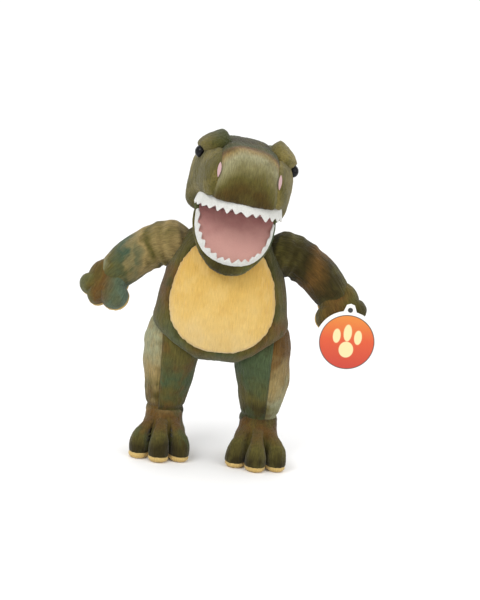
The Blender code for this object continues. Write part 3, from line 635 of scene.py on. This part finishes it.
for label, side in SIDES:
    way = np.array((side, 0.0, 0.0))
    seat = head_surface(EYE_FROM, way)
    near = head_surface(EYE_FROM + np.array(((0, 0.003, 0), (0, 0, 0.003))), np.stack([way, way]))
    facing = np.cross(near[0] - seat, near[1] - seat)
    facing = unit(facing) * np.sign(facing[0]) * side
    facing = unit(facing + (1.2 * side, -0.25, -0.1))  # pressed in, so that it looks outwards
    level = unit(np.cross(facing, (0, 0, 1.0)))
    steep = np.cross(facing, level)
    angle = circle(64)
    fall = np.linspace(0, math.pi, 48)[:, None]
    high = np.where(fall < math.pi / 2, EYE_OVER, EYE_UNDER) * np.cos(fall) + EYE_PROUD
    wide = EYE_RADIUS * np.sin(fall)
    dome = seat + high[..., None] * facing + (wide * np.cos(angle))[..., None] * level
    dome = dome + (wide * np.sin(angle))[..., None] * steep
    made = sewn(f"{label}_eye_dome", on_head(dome), dome)
    made.data.materials.append(eye_black)
    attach(made, "head")
    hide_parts(f"{label}_eye")
    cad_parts[f"{label}_eye_washer"].material_slots[0].material = washer_grey

# --- Nostrils: a leaf-shaped slip of pink plush let into each snout seam.

NOSTRIL_FROM, NOSTRIL_ROUND, NOSTRIL_HALF = 7, 14.5, 0.0020  # degrees round the strip


def smooth_pink(name, low, high, stops, seed):
    """Very short pink plush: colours in cloudy bands by height, and a fine even nap."""
    made, shader, place = material(name)
    patch = place.grain((60, 60, 60), 3.0, seed)
    fuzz = place.grain((1800, 1800, 900), 2.0, seed)
    colour = ((place.along(2) - low) / (high - low) + (patch - 0.5) * 0.5).ramped(stops)
    feed(shader, {
        "Base Color": colour.toned(1.0 + (fuzz - 0.5) * 0.35),
        "Normal": fuzz.relief(0.35, 0.0005), "Roughness": 0.85, "Sheen Weight": 0.2,
    })
    return made


nostril_pink = smooth_pink(
    "nostril_pink", 0.3, 0.4, ((0, srgb(172, 138, 138)), (1, srgb(182, 150, 151))), 3.0
)
for label, side in SIDES:
    t = np.linspace(0, 1, 60)[:, None]
    angle = circle(36)
    round_ = np.radians(NOSTRIL_FROM + NOSTRIL_ROUND * t)
    seam = strip_half(round_)
    wide = NOSTRIL_HALF * np.sin(math.pi * t) ** 0.8
    slip = head_skin(side * (seam + 0.0002 + wide * np.cos(angle)), round_)
    skin = head_skin(side * (seam + np.linspace(-0.002, 0.002, 9)), round_)
    normal = outward(skin, False)[0][:, 4:5]
    lift = 0.0010 * np.sin(angle) * np.minimum(1, wide / 0.0012) + 0.0002
    slip = slip + normal * lift[..., None]
    made = sewn(f"{label}_nostril_slip", on_head(closed(slip)), closed(slip))
    made.data.materials.append(nostril_pink)
    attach(made, "head")
    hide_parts(f"{label}_nostril")

# --- Mouth: a pink roof under the snout, and a pink lining that runs from it round the throat and
# down over the jaw.

round_ = np.radians(np.linspace(LIP - 1, -88, 110))[:, None]
share = np.linspace(-1, 1, COLUMNS)
roof = head_skin(strip_half(round_) * share * 1.01, round_)
roof[..., 2] += 0.0035 * (1 - share**2) * eased((np.degrees(-round_) - 8) / 14)
roof = folded(roof + (middle - roof) * 0.012, middle, 0.05)
palate = lined(sewn("palate_plush", on_head(roof), roof, wrap=False))
# Its pink darkens towards the top, near the lip under the upper teeth: painted shade.
palate.data.materials.append(smooth_pink(
    "mouth_pink", 0.26, 0.33, ((0, srgb(176, 130, 120)), (0.45, srgb(168, 122, 115)),
                               (0.8, srgb(146, 98, 94)), (1, srgb(122, 76, 75))), 5.0
))
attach(palate, "head")
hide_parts("palate_lining")

JAW_ROWS = (  # distance from the hinge, half width and half thickness
    (-0.0078, 0, 0.0), (-0.0055, 0.045, 0.0045), (0.000, 0.048, 0.0075),
    (0.016, 0.0480, 0.0075), (0.032, 0.0445, 0.0072), (0.048, 0.0370, 0.0070),
    (0.061, 0.027, 0.0066), (0.070, 0.016, 0.0052), (0.0745, 0, 0.0),
)
JAW_THICK, JAW_POWER = 1.05, 2.6
rows = cubic(JAW_ROWS, 120)
reach, half, thick = rows.T[..., None]
half, thick = np.maximum(half, 0), np.maximum(thick, 0)
angle = circle(220)
across, up = arch(angle, JAW_POWER)
jaw = joined(half * across, -reach, thick * JAW_THICK * up)
nap = jaw[..., [0, 2, 1]]
jaw = fluffed(jaw, nap, lumps=0.0009, seed=81)
jaw_plush = sewn("jaw_plush", on_jaw(jaw), nap)
jaw_plush.data.materials.append(
    plush("chin_plush", ((1, 0, 0), -0.06, 0.05),
          ((0, OLIVE), (0.4, DARK), (0.7, OLIVE), (1, TEAL)), TEAL, 18)
)
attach(jaw_plush, "jaw")
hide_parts("jaw_skin", "jaw_stuffing")

# The rim that the lower teeth stand on: a rounded V, by its half width and how far it reaches.
RIM_HALF, RIM_FROM, RIM_REACH, RIM_POWER = 0.0455, 0.004, 0.060, 0.80
WITHIN = 0.0018  # from the rim to the lining's edge
# The lining: a strip along a path from the throat to the jaw's tip, inside the rim, that rests on
# the jaw and curls up a little at its sides.
station = np.linspace(0, 1, 110)
jaw_reach = np.interp(station, (0, 0.10, 1), (-0.002, 0.004, RIM_FROM + RIM_REACH - WITHIN))
bend = (np.clip((jaw_reach - RIM_FROM) / RIM_REACH, 0, 1) ** (1 / RIM_POWER)) ** 2
jaw_half = np.interp(jaw_reach, rows[:, 0], rows[:, 1]) - 0.0042
jaw_half = np.minimum(jaw_half, RIM_HALF * np.sqrt(1 - bend) - WITHIN)
jaw_top = np.interp(jaw_reach, rows[:, 0], rows[:, 2]) * JAW_THICK
share = np.linspace(-1, 1, 100)[None, :]
dish = -0.0012 + 0.0028 * np.abs(share) ** 4
x = np.maximum(jaw_half, 0.002)[:, None] * share
level = 1 - np.minimum(np.abs(x) / rows[:, 1].max(), 1) ** JAW_POWER
z = jaw_top[:, None] * level**0.38 + 0.0016 + dish
down = on_jaw(joined(x, -jaw_reach[:, None], z))
throat_y, throat_z = np.array(((-0.066, -0.060, -0.0555), (0.0215, 0.0165, 0.0125)))[..., None]
throat = on_head(joined(0.044 * share, throat_y, throat_z))
lining = np.concatenate([throat, down])
fluff = fluffed(lining, lining, wrap=False, lumps=0.0009, pile=0.0001, seed=91)
mouth_lining = lined(sewn("mouth_lining", fluff, lining, wrap=False), 0.0014)
# Its pink darkens upwards towards the throat, under the upper jaw: painted shade.
mouth_lining.data.materials.append(smooth_pink(
    "lining_pink", 0.24, 0.315, ((0, srgb(182, 138, 127)), (0.55, srgb(176, 131, 122)),
                                 (0.85, srgb(154, 106, 101)), (1, srgb(130, 84, 82))), 8.0
))
# Two places on its middle line, one on the throat and one on the jaw, either side of its bend.
start, end = throat[1, 50] - TOY_MIDDLE, down[14, 50] - TOY_MIDDLE
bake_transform(mouth_lining)
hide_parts("jaw_lining")

# --- Teeth: two strips of thick white felt cut in uneven points, caught in the seams of the lip
# and of the jaw's rim.

FELT_THICK = 0.0022
SOFT = 9  # steps of the edge that a point is rounded over

white_felt, shader, place = material("white_felt")
fleck, cloud = place.grain((700, 700, 700), 4.0), place.grain((120, 120, 120), 2.0, 3.0)
whites = (0.25, srgb(176, 176, 170)), (0.75, srgb(212, 212, 207))
feed(shader, {
    "Base Color": (fleck * 0.6 + cloud * 0.4).ramped(whites), "Normal": fleck.relief(0.7, 0.0006),
    "Roughness": 0.95, "Sheen Weight": 0.3,
})


def away(line, middle):
    """Level directions square to a line, away from a point inside its bend."""
    out = np.cross(unit(np.gradient(line, axis=0)), (0, 0, 1.0))
    return out * np.sign((out * (line - middle)).sum())


def tooth_strip(line, out, up, root, valley, tip, teeth, seed):
    """A felt strip along a lip. Its edge goes between a valley's height and a tip's in uneven
    points, rounded a little. Across, it is a thin oval, from root to edge on one side and back."""
    rng = np.random.default_rng(seed)
    count = len(line)
    places = np.linspace(0, 1, 2 * teeth + 1)
    places[1:-1] += rng.uniform(-0.28, 0.28, 2 * teeth - 1) / (2 * teeth)
    heights = np.where(np.arange(2 * teeth + 1) % 2, 1.0, 0.0)
    heights = heights + rng.uniform(-0.22, 0.22, 2 * teeth + 1)
    point = np.interp(np.linspace(0, 1, count), places, heights)
    point = np.convolve(np.pad(point, SOFT // 2, mode="edge"), np.ones(SOFT) / SOFT, "valid")
    edge = valley + (tip - valley) * point
    cosine, sine = arch(circle(40), 3.2)
    height = root + (edge[:, None] - root) * (cosine / 2 + 0.5)
    place = line[:, None] + up[:, None] * height[..., None]
    return closed(place + out[:, None] * (sine * FELT_THICK / 2)[..., None])


turn = np.linspace(0, math.pi, 480)
lip_y = -0.050 - 0.0565 * np.sin(turn) ** 0.62
lip = joined(0.0485 * np.cos(turn), lip_y, head_row(np.maximum(lip_y, -0.104))[2] + 0.002)
out = away(lip, (0, -0.07, 0.02))
down = np.array((0, 0, -1.0)) * 0.97 + out * 0.24
tip = 0.0128 - 0.0020 * np.abs(np.cos(turn)) ** 6
upper = tooth_strip(lip, out, down, -0.0045, 0.0060, tip, 14, 5)
upper_teeth = sewn("upper_felt_teeth", on_head(upper), upper)
upper_teeth.data.materials.append(white_felt)
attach(upper_teeth, "head")
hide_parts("upper_teeth")

rim_y = -RIM_FROM - RIM_REACH * np.sin(turn) ** RIM_POWER
rim = joined(RIM_HALF * np.cos(turn), rim_y, 0.0050)
out = away(rim, (0, -0.035, 0))
up = np.array((0, 0, 1.0)) * 0.9 - out * 0.30
tip = 0.0122 + 0.0015 * np.sin(turn)
lower = tooth_strip(rim, out, up, -0.001, 0.0058, tip, 15, 9)
lower_teeth = sewn("lower_felt_teeth", on_jaw(lower), lower)
lower_teeth.data.materials.append(white_felt)
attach(lower_teeth, "jaw")
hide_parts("lower_teeth")

# --- Arms: stuffed sleeves that curve out and down from the shoulders. Each hand is a back and a
# palm sewn round a three-lobed outline, with the yellow palm showing as a rim.

ARM_LINE = (  # middle line from inside the body, with the half thickness
    (0.046, 0.001, 0.262, 0.0), (0.049, 0.001, 0.262, 0.014), (0.056, 0.001, 0.260, 0.0225),
    (0.068, 0.000, 0.2570, 0.0262), (0.087, -0.002, 0.2505, 0.0256),
    (0.107, -0.007, 0.2380, 0.0246), (0.122, -0.012, 0.2240, 0.0236),
    (0.133, -0.016, 0.2120, 0.0200), (0.1375, -0.018, 0.2050, 0.012),
    (0.1385, -0.018, 0.2030, 0.0),
)
HAND_CIRCLES = (  # middle across and towards the fingers, and radius
    (0.000, -0.004, 0.024), (-0.0170, 0.0120, 0.0125), (-0.003, 0.0195, 0.0118),
    (0.016, 0.011, 0.0165),
)
HAND_MIDDLE = np.array((0.1385, -0.018, 0.2045))
FOLD_DEEP = 0.0011  # of the sleeve's creases near the shoulder
HAND_TURN = math.radians(20)  # the fingers point down and this much out
BACK_LEVELS = (  # height over the palm's seam plane, shrink and share moved to the middle
    (-0.0050, 0.0022, 0.02), (-0.0040, 0.0004, 0.01), (0.000, 0.0, 0.0), (0.006, 0.0004, 0.02),
    (0.0115, 0.0022, 0.07), (0.0158, 0.0056, 0.20), (0.0180, 0.0095, 0.45),
)
PALM_LEVELS = (
    (-0.0172, 0.0090, 0.30), (-0.0155, 0.0048, 0.10), (-0.011, 0.0010, 0.02), (-0.0075, 0.0, 0.0),
    (-0.0055, 0.0010, 0.01),
)


def limb(line, rows, angle, hint):
    """Rings carried along a path: at each place on its cubic, a circle square to the path. The
    angle round a ring is measured from near the hint's direction."""
    place = cubic(line, rows)
    radius = np.maximum(place[:, 3:4], 0)
    place = place[:, :3]
    along = unit(np.gradient(place, axis=0))
    across = unit(hint - along * (along @ np.array(hint, float))[:, None])
    up = np.cross(along, across)
    ring = (radius * np.cos(angle))[..., None], (radius * np.sin(angle))[..., None]
    grid = place[:, None] + ring[0] * across[:, None] + ring[1] * up[:, None]
    length = np.cumsum(np.r_[0, np.linalg.norm(np.diff(place, axis=0), axis=-1)])
    return grid, lying(angle, 0.024, length[:, None])


def paw(circles, levels, rows, columns):
    """Rings round overlapping circles. At each level the circles have moved and shrunk, and the
    outline is the farthest point of any of them on each ray from the middle."""
    levels = np.asarray([(*row, 0, 0) if len(row) == 3 else row for row in levels], float)
    height, shrink, share, mid_x, mid_y = cubic(levels, rows).T[:, :, None]
    cosine, sine = np.cos(circle(columns)), np.sin(circle(columns))
    reach = np.zeros((rows, columns))
    for x, y, radius in circles:
        off_x, off_y = (x - mid_x) * (1 - share), (y - mid_y) * (1 - share)
        ahead = off_x * cosine + off_y * sine
        inside = np.maximum(radius - shrink, 0) ** 2 - off_x**2 - off_y**2 + ahead**2
        reach = np.maximum(reach, np.where(inside > 0, ahead + np.sqrt(np.maximum(inside, 0)), 0))
    return joined(mid_x + reach * cosine, mid_y + reach * sine, height)


ARM_DYES = {
    "left": (((0, OLIVE), (0.3, DARK), (0.55, BROWN), (0.8, DARK), (1, OLIVE)), DARK),
    "right": (((0, TAN), (0.28, OLIVE), (0.42, TAN), (0.66, srgb(62, 78, 60)), (0.85, OLIVE),
               (1, SAGE)), TAN),
}
HAND_DYES = {
    "left": (((0, DARK), (0.35, OLIVE), (0.6, BROWN), (1, OLIVE)), DARK),
    "right": (((0, srgb(90, 96, 68)), (0.3, OLIVE), (0.5, BROWN), (0.72, srgb(78, 90, 70)),
               (1, srgb(86, 102, 86))), OLIVE),
}
for label, side in SIDES:
    stops, patch = ARM_DYES[label]
    angle = circle(170)
    sleeve, nap = limb(ARM_LINE, 130, angle, (0, 1, 0))
    length = nap[..., 2]
    folds = np.sin(length * 420 + 3 * np.cos(angle)) * bell(length - 0.036, 0.022)
    folds = FOLD_DEEP * folds * (0.4 + 0.6 * (np.cos(angle) < 0))  # deeper in front
    sleeve = sleeve + outward(sleeve)[0] * folds[..., None]
    sleeve = fluffed(sleeve, nap, lumps=0.0012, seed=101 + side) * (side, 1, 1)
    made = sewn(f"{label}_arm_plush", sleeve, nap)
    way = (side, 0, -0.35), -0.029 - 0.007 * side, 0.0645 - 0.007 * side
    made.data.materials.append(plush(f"{label}_arm_plush", way, stops, patch, 20 + side))
    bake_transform(made)
    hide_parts(f"{label}_arm_skin", f"{label}_arm_stuffing")

    facing = unit(np.array((0.10 * side, -0.90, 0.42)))
    fingers = unit((0, 0, -1.0) + facing * facing[2])
    thumb = np.array((-side, 0, 0.0))
    thumb = unit(thumb - facing * (thumb @ facing) - fingers * (thumb @ fingers))
    turned = turning(HAND_TURN, 2).T @ np.stack([thumb, fingers, facing])
    for part, levels, slot in (("hand", BACK_LEVELS, "plush_olive"),
                               ("palm", PALM_LEVELS, "plush_yellow")):
        mitt = closed(paw(HAND_CIRCLES, levels, 54, 300))
        nap = mitt[..., [0, 2, 1]]
        mitt = fluffed(mitt, nap, lumps=0.0007, seed=111 + side + len(part))
        mitt = mitt @ turned + HAND_MIDDLE * (side, 1, 1)
        made = sewn(f"{label}_{part}_plush", mitt, nap)
        if part == "hand":
            way = (-side, 0, 0), -0.172 + 0.007 * side, -0.112 + 0.007 * side
            look = plush(f"{label}_hand_plush", way, *HAND_DYES[label], 24 + side, 0.14, 0.4)
        else:
            look = short_yellow(f"{label}_palm_plush", 0.17, 0.21,
                                ((0, srgb(190, 160, 96)), (1, srgb(200, 172, 110))), 26 + side)
        made.data.materials.append(look)
        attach(made, f"{label}_arm")
        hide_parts(f"{label}_hand_back" if part == "hand" else f"{label}_palm")

# --- Legs: stuffed tubes, each of an outer and an inner panel with a seam down the front and the
# back. They are sewn into the slanting hip creases, and are drawn in at the ankle.

LEG_ROWS = (  # the left leg's middle line from inside the body, then half width and half depth
    (0.0600, 0.000, 0.173, 0.0, 0.0), (0.0600, 0.000, 0.1715, 0.013, 0.013),
    (0.0590, 0.000, 0.165, 0.0225, 0.024), (0.0575, 0.000, 0.155, 0.0285, 0.032),
    (0.0560, 0.000, 0.142, 0.0330, 0.0375), (0.0550, 0.000, 0.124, 0.0340, 0.0360),
    (0.0570, 0.001, 0.104, 0.0322, 0.0300), (0.0575, 0.003, 0.086, 0.0290, 0.0278),
    (0.0580, 0.005, 0.070, 0.0252, 0.0252), (0.0580, 0.006, 0.056, 0.0222, 0.0232),
    (0.0580, 0.006, 0.048, 0.0225, 0.0235), (0.0580, 0.006, 0.041, 0.0190, 0.0200),
    (0.0580, 0.006, 0.037, 0.0100, 0.0110), (0.0580, 0.006, 0.036, 0.0, 0.0),
)
LEG_SEAM, ANKLE = 0.066, 0.056  # how far out the leg's seams are, and how high the ankle is
FOOT_CIRCLES = (  # heel, ball and three toes
    (0.000, 0.010, 0.0285), (0.000, -0.006, 0.0275), (-0.0243, -0.033, 0.0118),
    (0.000, -0.0425, 0.0122), (0.0247, -0.034, 0.0113),
)
FOOT_MIDDLE = np.array((0.058, -0.006, 0.0))
SOLE_LEVELS = (
    (0.000, 0.0045, 0.0), (0.0006, 0.0022, 0.0), (0.003, 0.0002, 0.0), (0.0055, 0.0, 0.0),
    (0.0072, 0.0010, 0.0), (0.0080, 0.0030, 0.0),
)
FOOT_LEVELS = (  # height, shrink, share moved to the middle, and that middle
    (0.0060, 0.0030, 0.0, 0, 0), (0.0066, 0.0010, 0.0, 0, 0), (0.0085, 0.0, 0.0, 0, 0),
    (0.016, 0.0, 0.0, 0, 0), (0.025, 0.0014, 0.02, 0, 0), (0.0325, 0.0040, 0.10, 0, 0.002),
    (0.039, 0.0055, 0.28, 0, 0.006), (0.046, 0.0058, 0.56, 0, 0.010),
    (0.0535, 0.0068, 0.86, 0, 0.012),
)
LEG_DYES = {
    ("left", "outer"): (((0, OLIVE), (0.2, SAGE), (0.45, TAN), (0.75, BROWN), (1, BROWN)), BROWN),
    ("left", "inner"): (((0, DARK), (0.3, OLIVE), (0.5, TEAL), (0.75, TEAL), (1, DARK)), TEAL),
    ("right", "outer"): (((0, BROWN), (0.25, OLIVE), (0.5, TAN), (0.75, SAGE), (1, SAGE)), TAN),
    ("right", "inner"): (((0, DARK), (0.22, OLIVE), (0.38, TEAL), (0.6, OLIVE), (1, OLIVE)), BROWN),
}

for label, side in SIDES:
    rows = cubic(LEG_ROWS, 190)
    x, y, z = rows[:, :3].T[..., None]
    half, deep = np.maximum(rows[:, 3:], 0).T[..., None]
    seam = np.arccos(np.clip((LEG_SEAM - x) / np.maximum(half, 0.012), -0.9, 0.9))
    for part, start, end, columns in (("outer", -seam, seam, 80),
                                      ("inner", seam, math.tau - seam, 140)):
        share = np.linspace(0, 1, columns)
        angle = start + (end - start) * share
        tube = joined(x + half * np.cos(angle), y - deep * np.sin(angle), z)
        from_edge = np.minimum(share, 1 - share) * (end - start) * half
        crease = bell(z - ANKLE, 0.003) * 0.0014
        stretched = joined(np.cos(angle) * 0.5, np.sin(angle) * 0.5, z * 28)
        wrinkle = clouds(stretched, 0.35, 127 + side) * 0.0009
        toward = rows[:, None, :3] - tube
        toward = toward / np.maximum(np.linalg.norm(toward, axis=-1, keepdims=True), 1e-6)
        sewn_in = np.where(half > 0.006, hem(from_edge, 0.0018), 0)
        tube = tube + toward * (sewn_in + crease + wrinkle)[..., None]
        nap = lying(angle, 0.029, -z)
        tube = fluffed(tube, nap, wrap=False, lumps=0.0014, seed=121 + side)
        tube, nap = folded(tube, rows[:, None, :3], 0.12), folded(nap, nap.mean((0, 1)), 0)
        made = lined(sewn(f"{label}_leg_{part}_plush", tube * (side, 1, 1), nap, wrap=False))
        stops, patch = LEG_DYES[label, part]
        made.data.materials.append(plush(f"{label}_leg_{part}_plush", ((0, 0, 1), 0.045, 0.17),
                                         stops, patch, 30 + side + len(part)))
        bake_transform(made)
        nodes = (f"{label}_leg_inner_panel", f"{label}_leg_stuffing")
        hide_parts(*((f"{label}_leg_outer_panel",) if part == "outer" else nodes))

    circles = [(x * side, y, r) for x, y, r in FOOT_CIRCLES]
    for part, levels, count in (("foot", FOOT_LEVELS, 90), ("sole", SOLE_LEVELS, 20)):
        shoe = closed(paw(circles, levels, count, 360))
        x, y, z = np.moveaxis(shoe, -1, 0)
        nap = joined(x, y * 0.5, z * 0.8 - y * 0.6)
        fluff = fluffed(shoe, nap, lumps=0.0010 if part == "foot" else 0.0003,
                        pile=0.00035 if part == "foot" else 0.0002, seed=131 + side + count)
        fluff[..., 2] = np.maximum(fluff[..., 2], 0)
        made = sewn(f"{label}_{part}_plush", fluff + FOOT_MIDDLE * (side, 1, 1), nap)
        if part == "foot":
            look = plush(f"{label}_foot_plush", ((0, 0.2, 1), 0.0, 0.06),
                         ((0, DARK), (0.3, OLIVE), (0.6, BROWN), (1, TAN if side < 0 else DARK)),
                         TEAL if side < 0 else OLIVE, 40 + side)
        else:
            look = short_yellow(f"{label}_sole_plush", 0.0, 0.008,
                                ((0, srgb(188, 156, 92)), (1, srgb(202, 174, 112))), 42 + side)
        made.data.materials.append(look)
        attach(made, f"{label}_leg")
        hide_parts(f"{label}_foot_top" if part == "foot" else f"{label}_sole")

# --- Tail: a short stuffed cone at the back of the hips, with a seam along under it.

TAIL_LINE = (
    (0, 0.022, 0.158, 0.0), (0, 0.024, 0.158, 0.014), (0, 0.032, 0.157, 0.0245),
    (0, 0.046, 0.155, 0.0280), (0, 0.068, 0.151, 0.0265), (0, 0.090, 0.146, 0.0235),
    (0, 0.112, 0.141, 0.0195), (0, 0.132, 0.1365, 0.0150), (0, 0.148, 0.1335, 0.0100),
    (0, 0.156, 0.1322, 0.0058), (0, 0.1590, 0.1318, 0.0),
)
angle = circle(150)
cone, nap = limb(TAIL_LINE, 150, angle, (1, 0, 0))
under = bell(np.cos(angle + math.pi / 2) + 1, 0.0016) * 0.0012
cone = cone - outward(cone)[0] * (under * (cone[..., 1] < 0.15))[..., None]
tail_plush = sewn("tail_plush", fluffed(cone, nap, lumps=0.0013, seed=141), nap)
tail_plush.data.materials.append(
    plush("tail_plush", ((0, 1, 0), 0.03, 0.14),
          ((0, OLIVE), (0.3, BROWN), (0.5, OLIVE), (0.75, TEAL), (1, DARK)), TEAL, 50)
)
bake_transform(tail_plush)
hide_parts("tail_skin", "tail_stuffing")

# --- Closing stitches: one dark thread in a zigzag up the back, where the body was stuffed.

STITCHES, STITCH_WIDE, THREAD_RADIUS = 13, 0.0035, 0.0006  # its corners, and half its zigzag

stitch_z = np.linspace(0.192, 0.240, STITCHES)
stitch_x = STITCH_WIDE * (-1.0) ** np.arange(STITCHES)
back = np.interp(stitch_z, table[:, 0], table[:, 3])
line = np.column_stack([stitch_x, back + 0.0008, stitch_z, np.full(STITCHES, THREAD_RADIUS)])
grid, nap = limb(line, 8 * STITCHES, circle(10), (0, 1, 0.3))
stitches = sewn("closing_stitches", closed(grid), closed(nap))
stitches.data.materials.append(
    mottled("dark_thread", 1500, 2.0, srgb(40, 36, 18), srgb(70, 62, 34), 0.8)
)
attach(stitches, "body")
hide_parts("closing_thread")

# --- Tag: a round white card with a hole in its tab, printed on the front with an orange disc and a
# plain three-toed footprint. A plastic pin with a bar inside the hand holds it.

TAG_MIDDLE = np.array((0.150, -0.0455, 0.205 - 0.0384)) - TOY_MIDDLE  # on its front
PRINT_RADIUS, PRINT_RIM, PRINT_EDGE = 0.0325, 0.001, 0.0004
HEEL = (0, -0.009, 0.0085, 0.0095)  # across, up, and half sizes
TOES = ((-0.0125, 0.0065, 0.0045, 0.0085), (0, 0.0110, 0.0048, 0.0100),
        (0.0125, 0.0065, 0.0045, 0.0085))

made, shader, place = material("printed_card")


def spot(x, z, wide, high):
    """1 inside an ellipse on the card and 0 outside it, from its middle and its half sizes."""
    moved = (-(TAG_MIDDLE[0] + x) / wide, 0, -(TAG_MIDDLE[2] + z) / high)
    scale = (1 / wide, 0, 1 / high)
    flat = place.node("Mapping", {}, {"Vector": place, "Location": moved, "Scale": scale})
    far = place.node("VectorMath", {"operation": "LENGTH"}, {0: flat}, 1)
    return 1.0 - far.between(1 - PRINT_EDGE / wide, 1 + PRINT_EDGE / wide)


paper = place.grain((900, 900, 900), 3.0)
white = paper.ramped(((0.3, srgb(222, 222, 218)), (0.7, srgb(232, 232, 230))))
glow = (place.along(2) - (TAG_MIDDLE[2] - 0.03)) / 0.06 + (paper - 0.5) * 0.1
disc = glow.ramped(((0, srgb(180, 48, 24)), (0.55, srgb(200, 74, 26)), (1, srgb(208, 120, 38))))
faced = 1.0 - place.along(1).between(TAG_MIDDLE[1] + 0.0003, TAG_MIDDLE[1] + 0.0009)
inner = PRINT_RADIUS - PRINT_RIM
printed = white.mixed(spot(0, 0, PRINT_RADIUS, PRINT_RADIUS) * faced, (*srgb(48, 40, 36), 1))
printed = printed.mixed(spot(0, 0, inner, inner) * faced, disc)
foot = spot(*HEEL)
for toe in TOES:
    toe = spot(*toe)
    foot = foot + toe - foot * toe
printed = printed.mixed(foot * faced, (*srgb(222, 204, 150), 1))
feed(shader, {"Base Color": printed, "Roughness": 0.35, "Coat Weight": 0.3})
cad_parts["hang_tag"].material_slots[0].material = made
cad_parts["tag_pin"].material_slots[0].material = mottled(
    "pin_plastic", 500, 2.0, srgb(34, 34, 34), srgb(52, 52, 50), 0.35
)

# --- Floor, lights and camera.

# The floor curves up behind the toy. Its top is a hair under the soles.
FLOOR_HALF, WALL_BACK, WALL_HIGH, FLOOR_DROP = 6, 2.5, 5, 0.0002
bend = np.linspace(0, math.pi / 2, 40)
curve = np.stack([WALL_BACK - 1 + np.sin(bend), 1 - np.cos(bend)], -1)
line = np.concatenate([[(-FLOOR_HALF, 0)], curve, [(WALL_BACK, WALL_HIGH)]])
line = np.array([(x, y, z - FLOOR_DROP) for y, z in line for x in (-FLOOR_HALF, FLOOR_HALF)])
strips = [(k, k + 1, k + 3, k + 2) for k in range(0, len(line) - 2, 2)]
sweep = bpy.data.meshes.new("floor")
sweep.from_pydata(line.tolist(), [], strips)
sweep.shade_smooth()
floor = bpy.data.objects.new("floor", sweep)
bpy.context.scene.collection.objects.link(floor)
made, shader, place = material("pale_floor")
feed(shader, {"Base Color": (0.92, 0.92, 0.92, 1), "Roughness": 0.9})
floor.data.materials.append(made)

world = bpy.data.worlds.new("studio")
world.use_nodes = True
feed(world.node_tree.nodes["Background"], {0: (1, 1, 1, 1), 1: 1.0})
bpy.context.scene.world = world


def softbox(name, place, size, watts):
    """A square lamp aimed at the toy's chest."""
    lamp = bpy.data.lights.new(name, "AREA")
    lamp.shape, lamp.size, lamp.energy = "SQUARE", size, watts
    box = bpy.data.objects.new(name, lamp)
    box.location = place
    aim = Vector((0, 0, 0.2)) - box.location
    box.rotation_euler = aim.to_track_quat("-Z", "Y").to_euler()
    bpy.context.scene.collection.objects.link(box)


for lamp in (("key", (-0.9, -1.3, 1.5), 0.9, 15), ("fill", (1.3, -1.1, 0.9), 1.2, 6),
             ("top", (0.1, 0.7, 1.8), 1.2, 8)):
    softbox(*lamp)

AIM, DISTANCE = Vector((0.0135, -0.024, 0.195)), 1.6
ELEVATION, ROLL, LENS = (math.radians(degrees) for degrees in (11, 5.8, 25.4))
lens = bpy.data.cameras.new("camera")
lens.sensor_fit = "VERTICAL"
lens.angle = LENS
camera = bpy.data.objects.new("camera", lens)
camera.location = AIM + Vector((0, -math.cos(ELEVATION), math.sin(ELEVATION))) * DISTANCE
camera.rotation_euler = (
    (AIM - camera.location).to_track_quat("-Z", "Y").to_matrix() @ Matrix.Rotation(ROLL, 3, "Z")
).to_euler()
bpy.context.scene.collection.objects.link(camera)
bpy.context.scene.camera = camera
bpy.context.scene.view_settings.view_transform = "Standard"
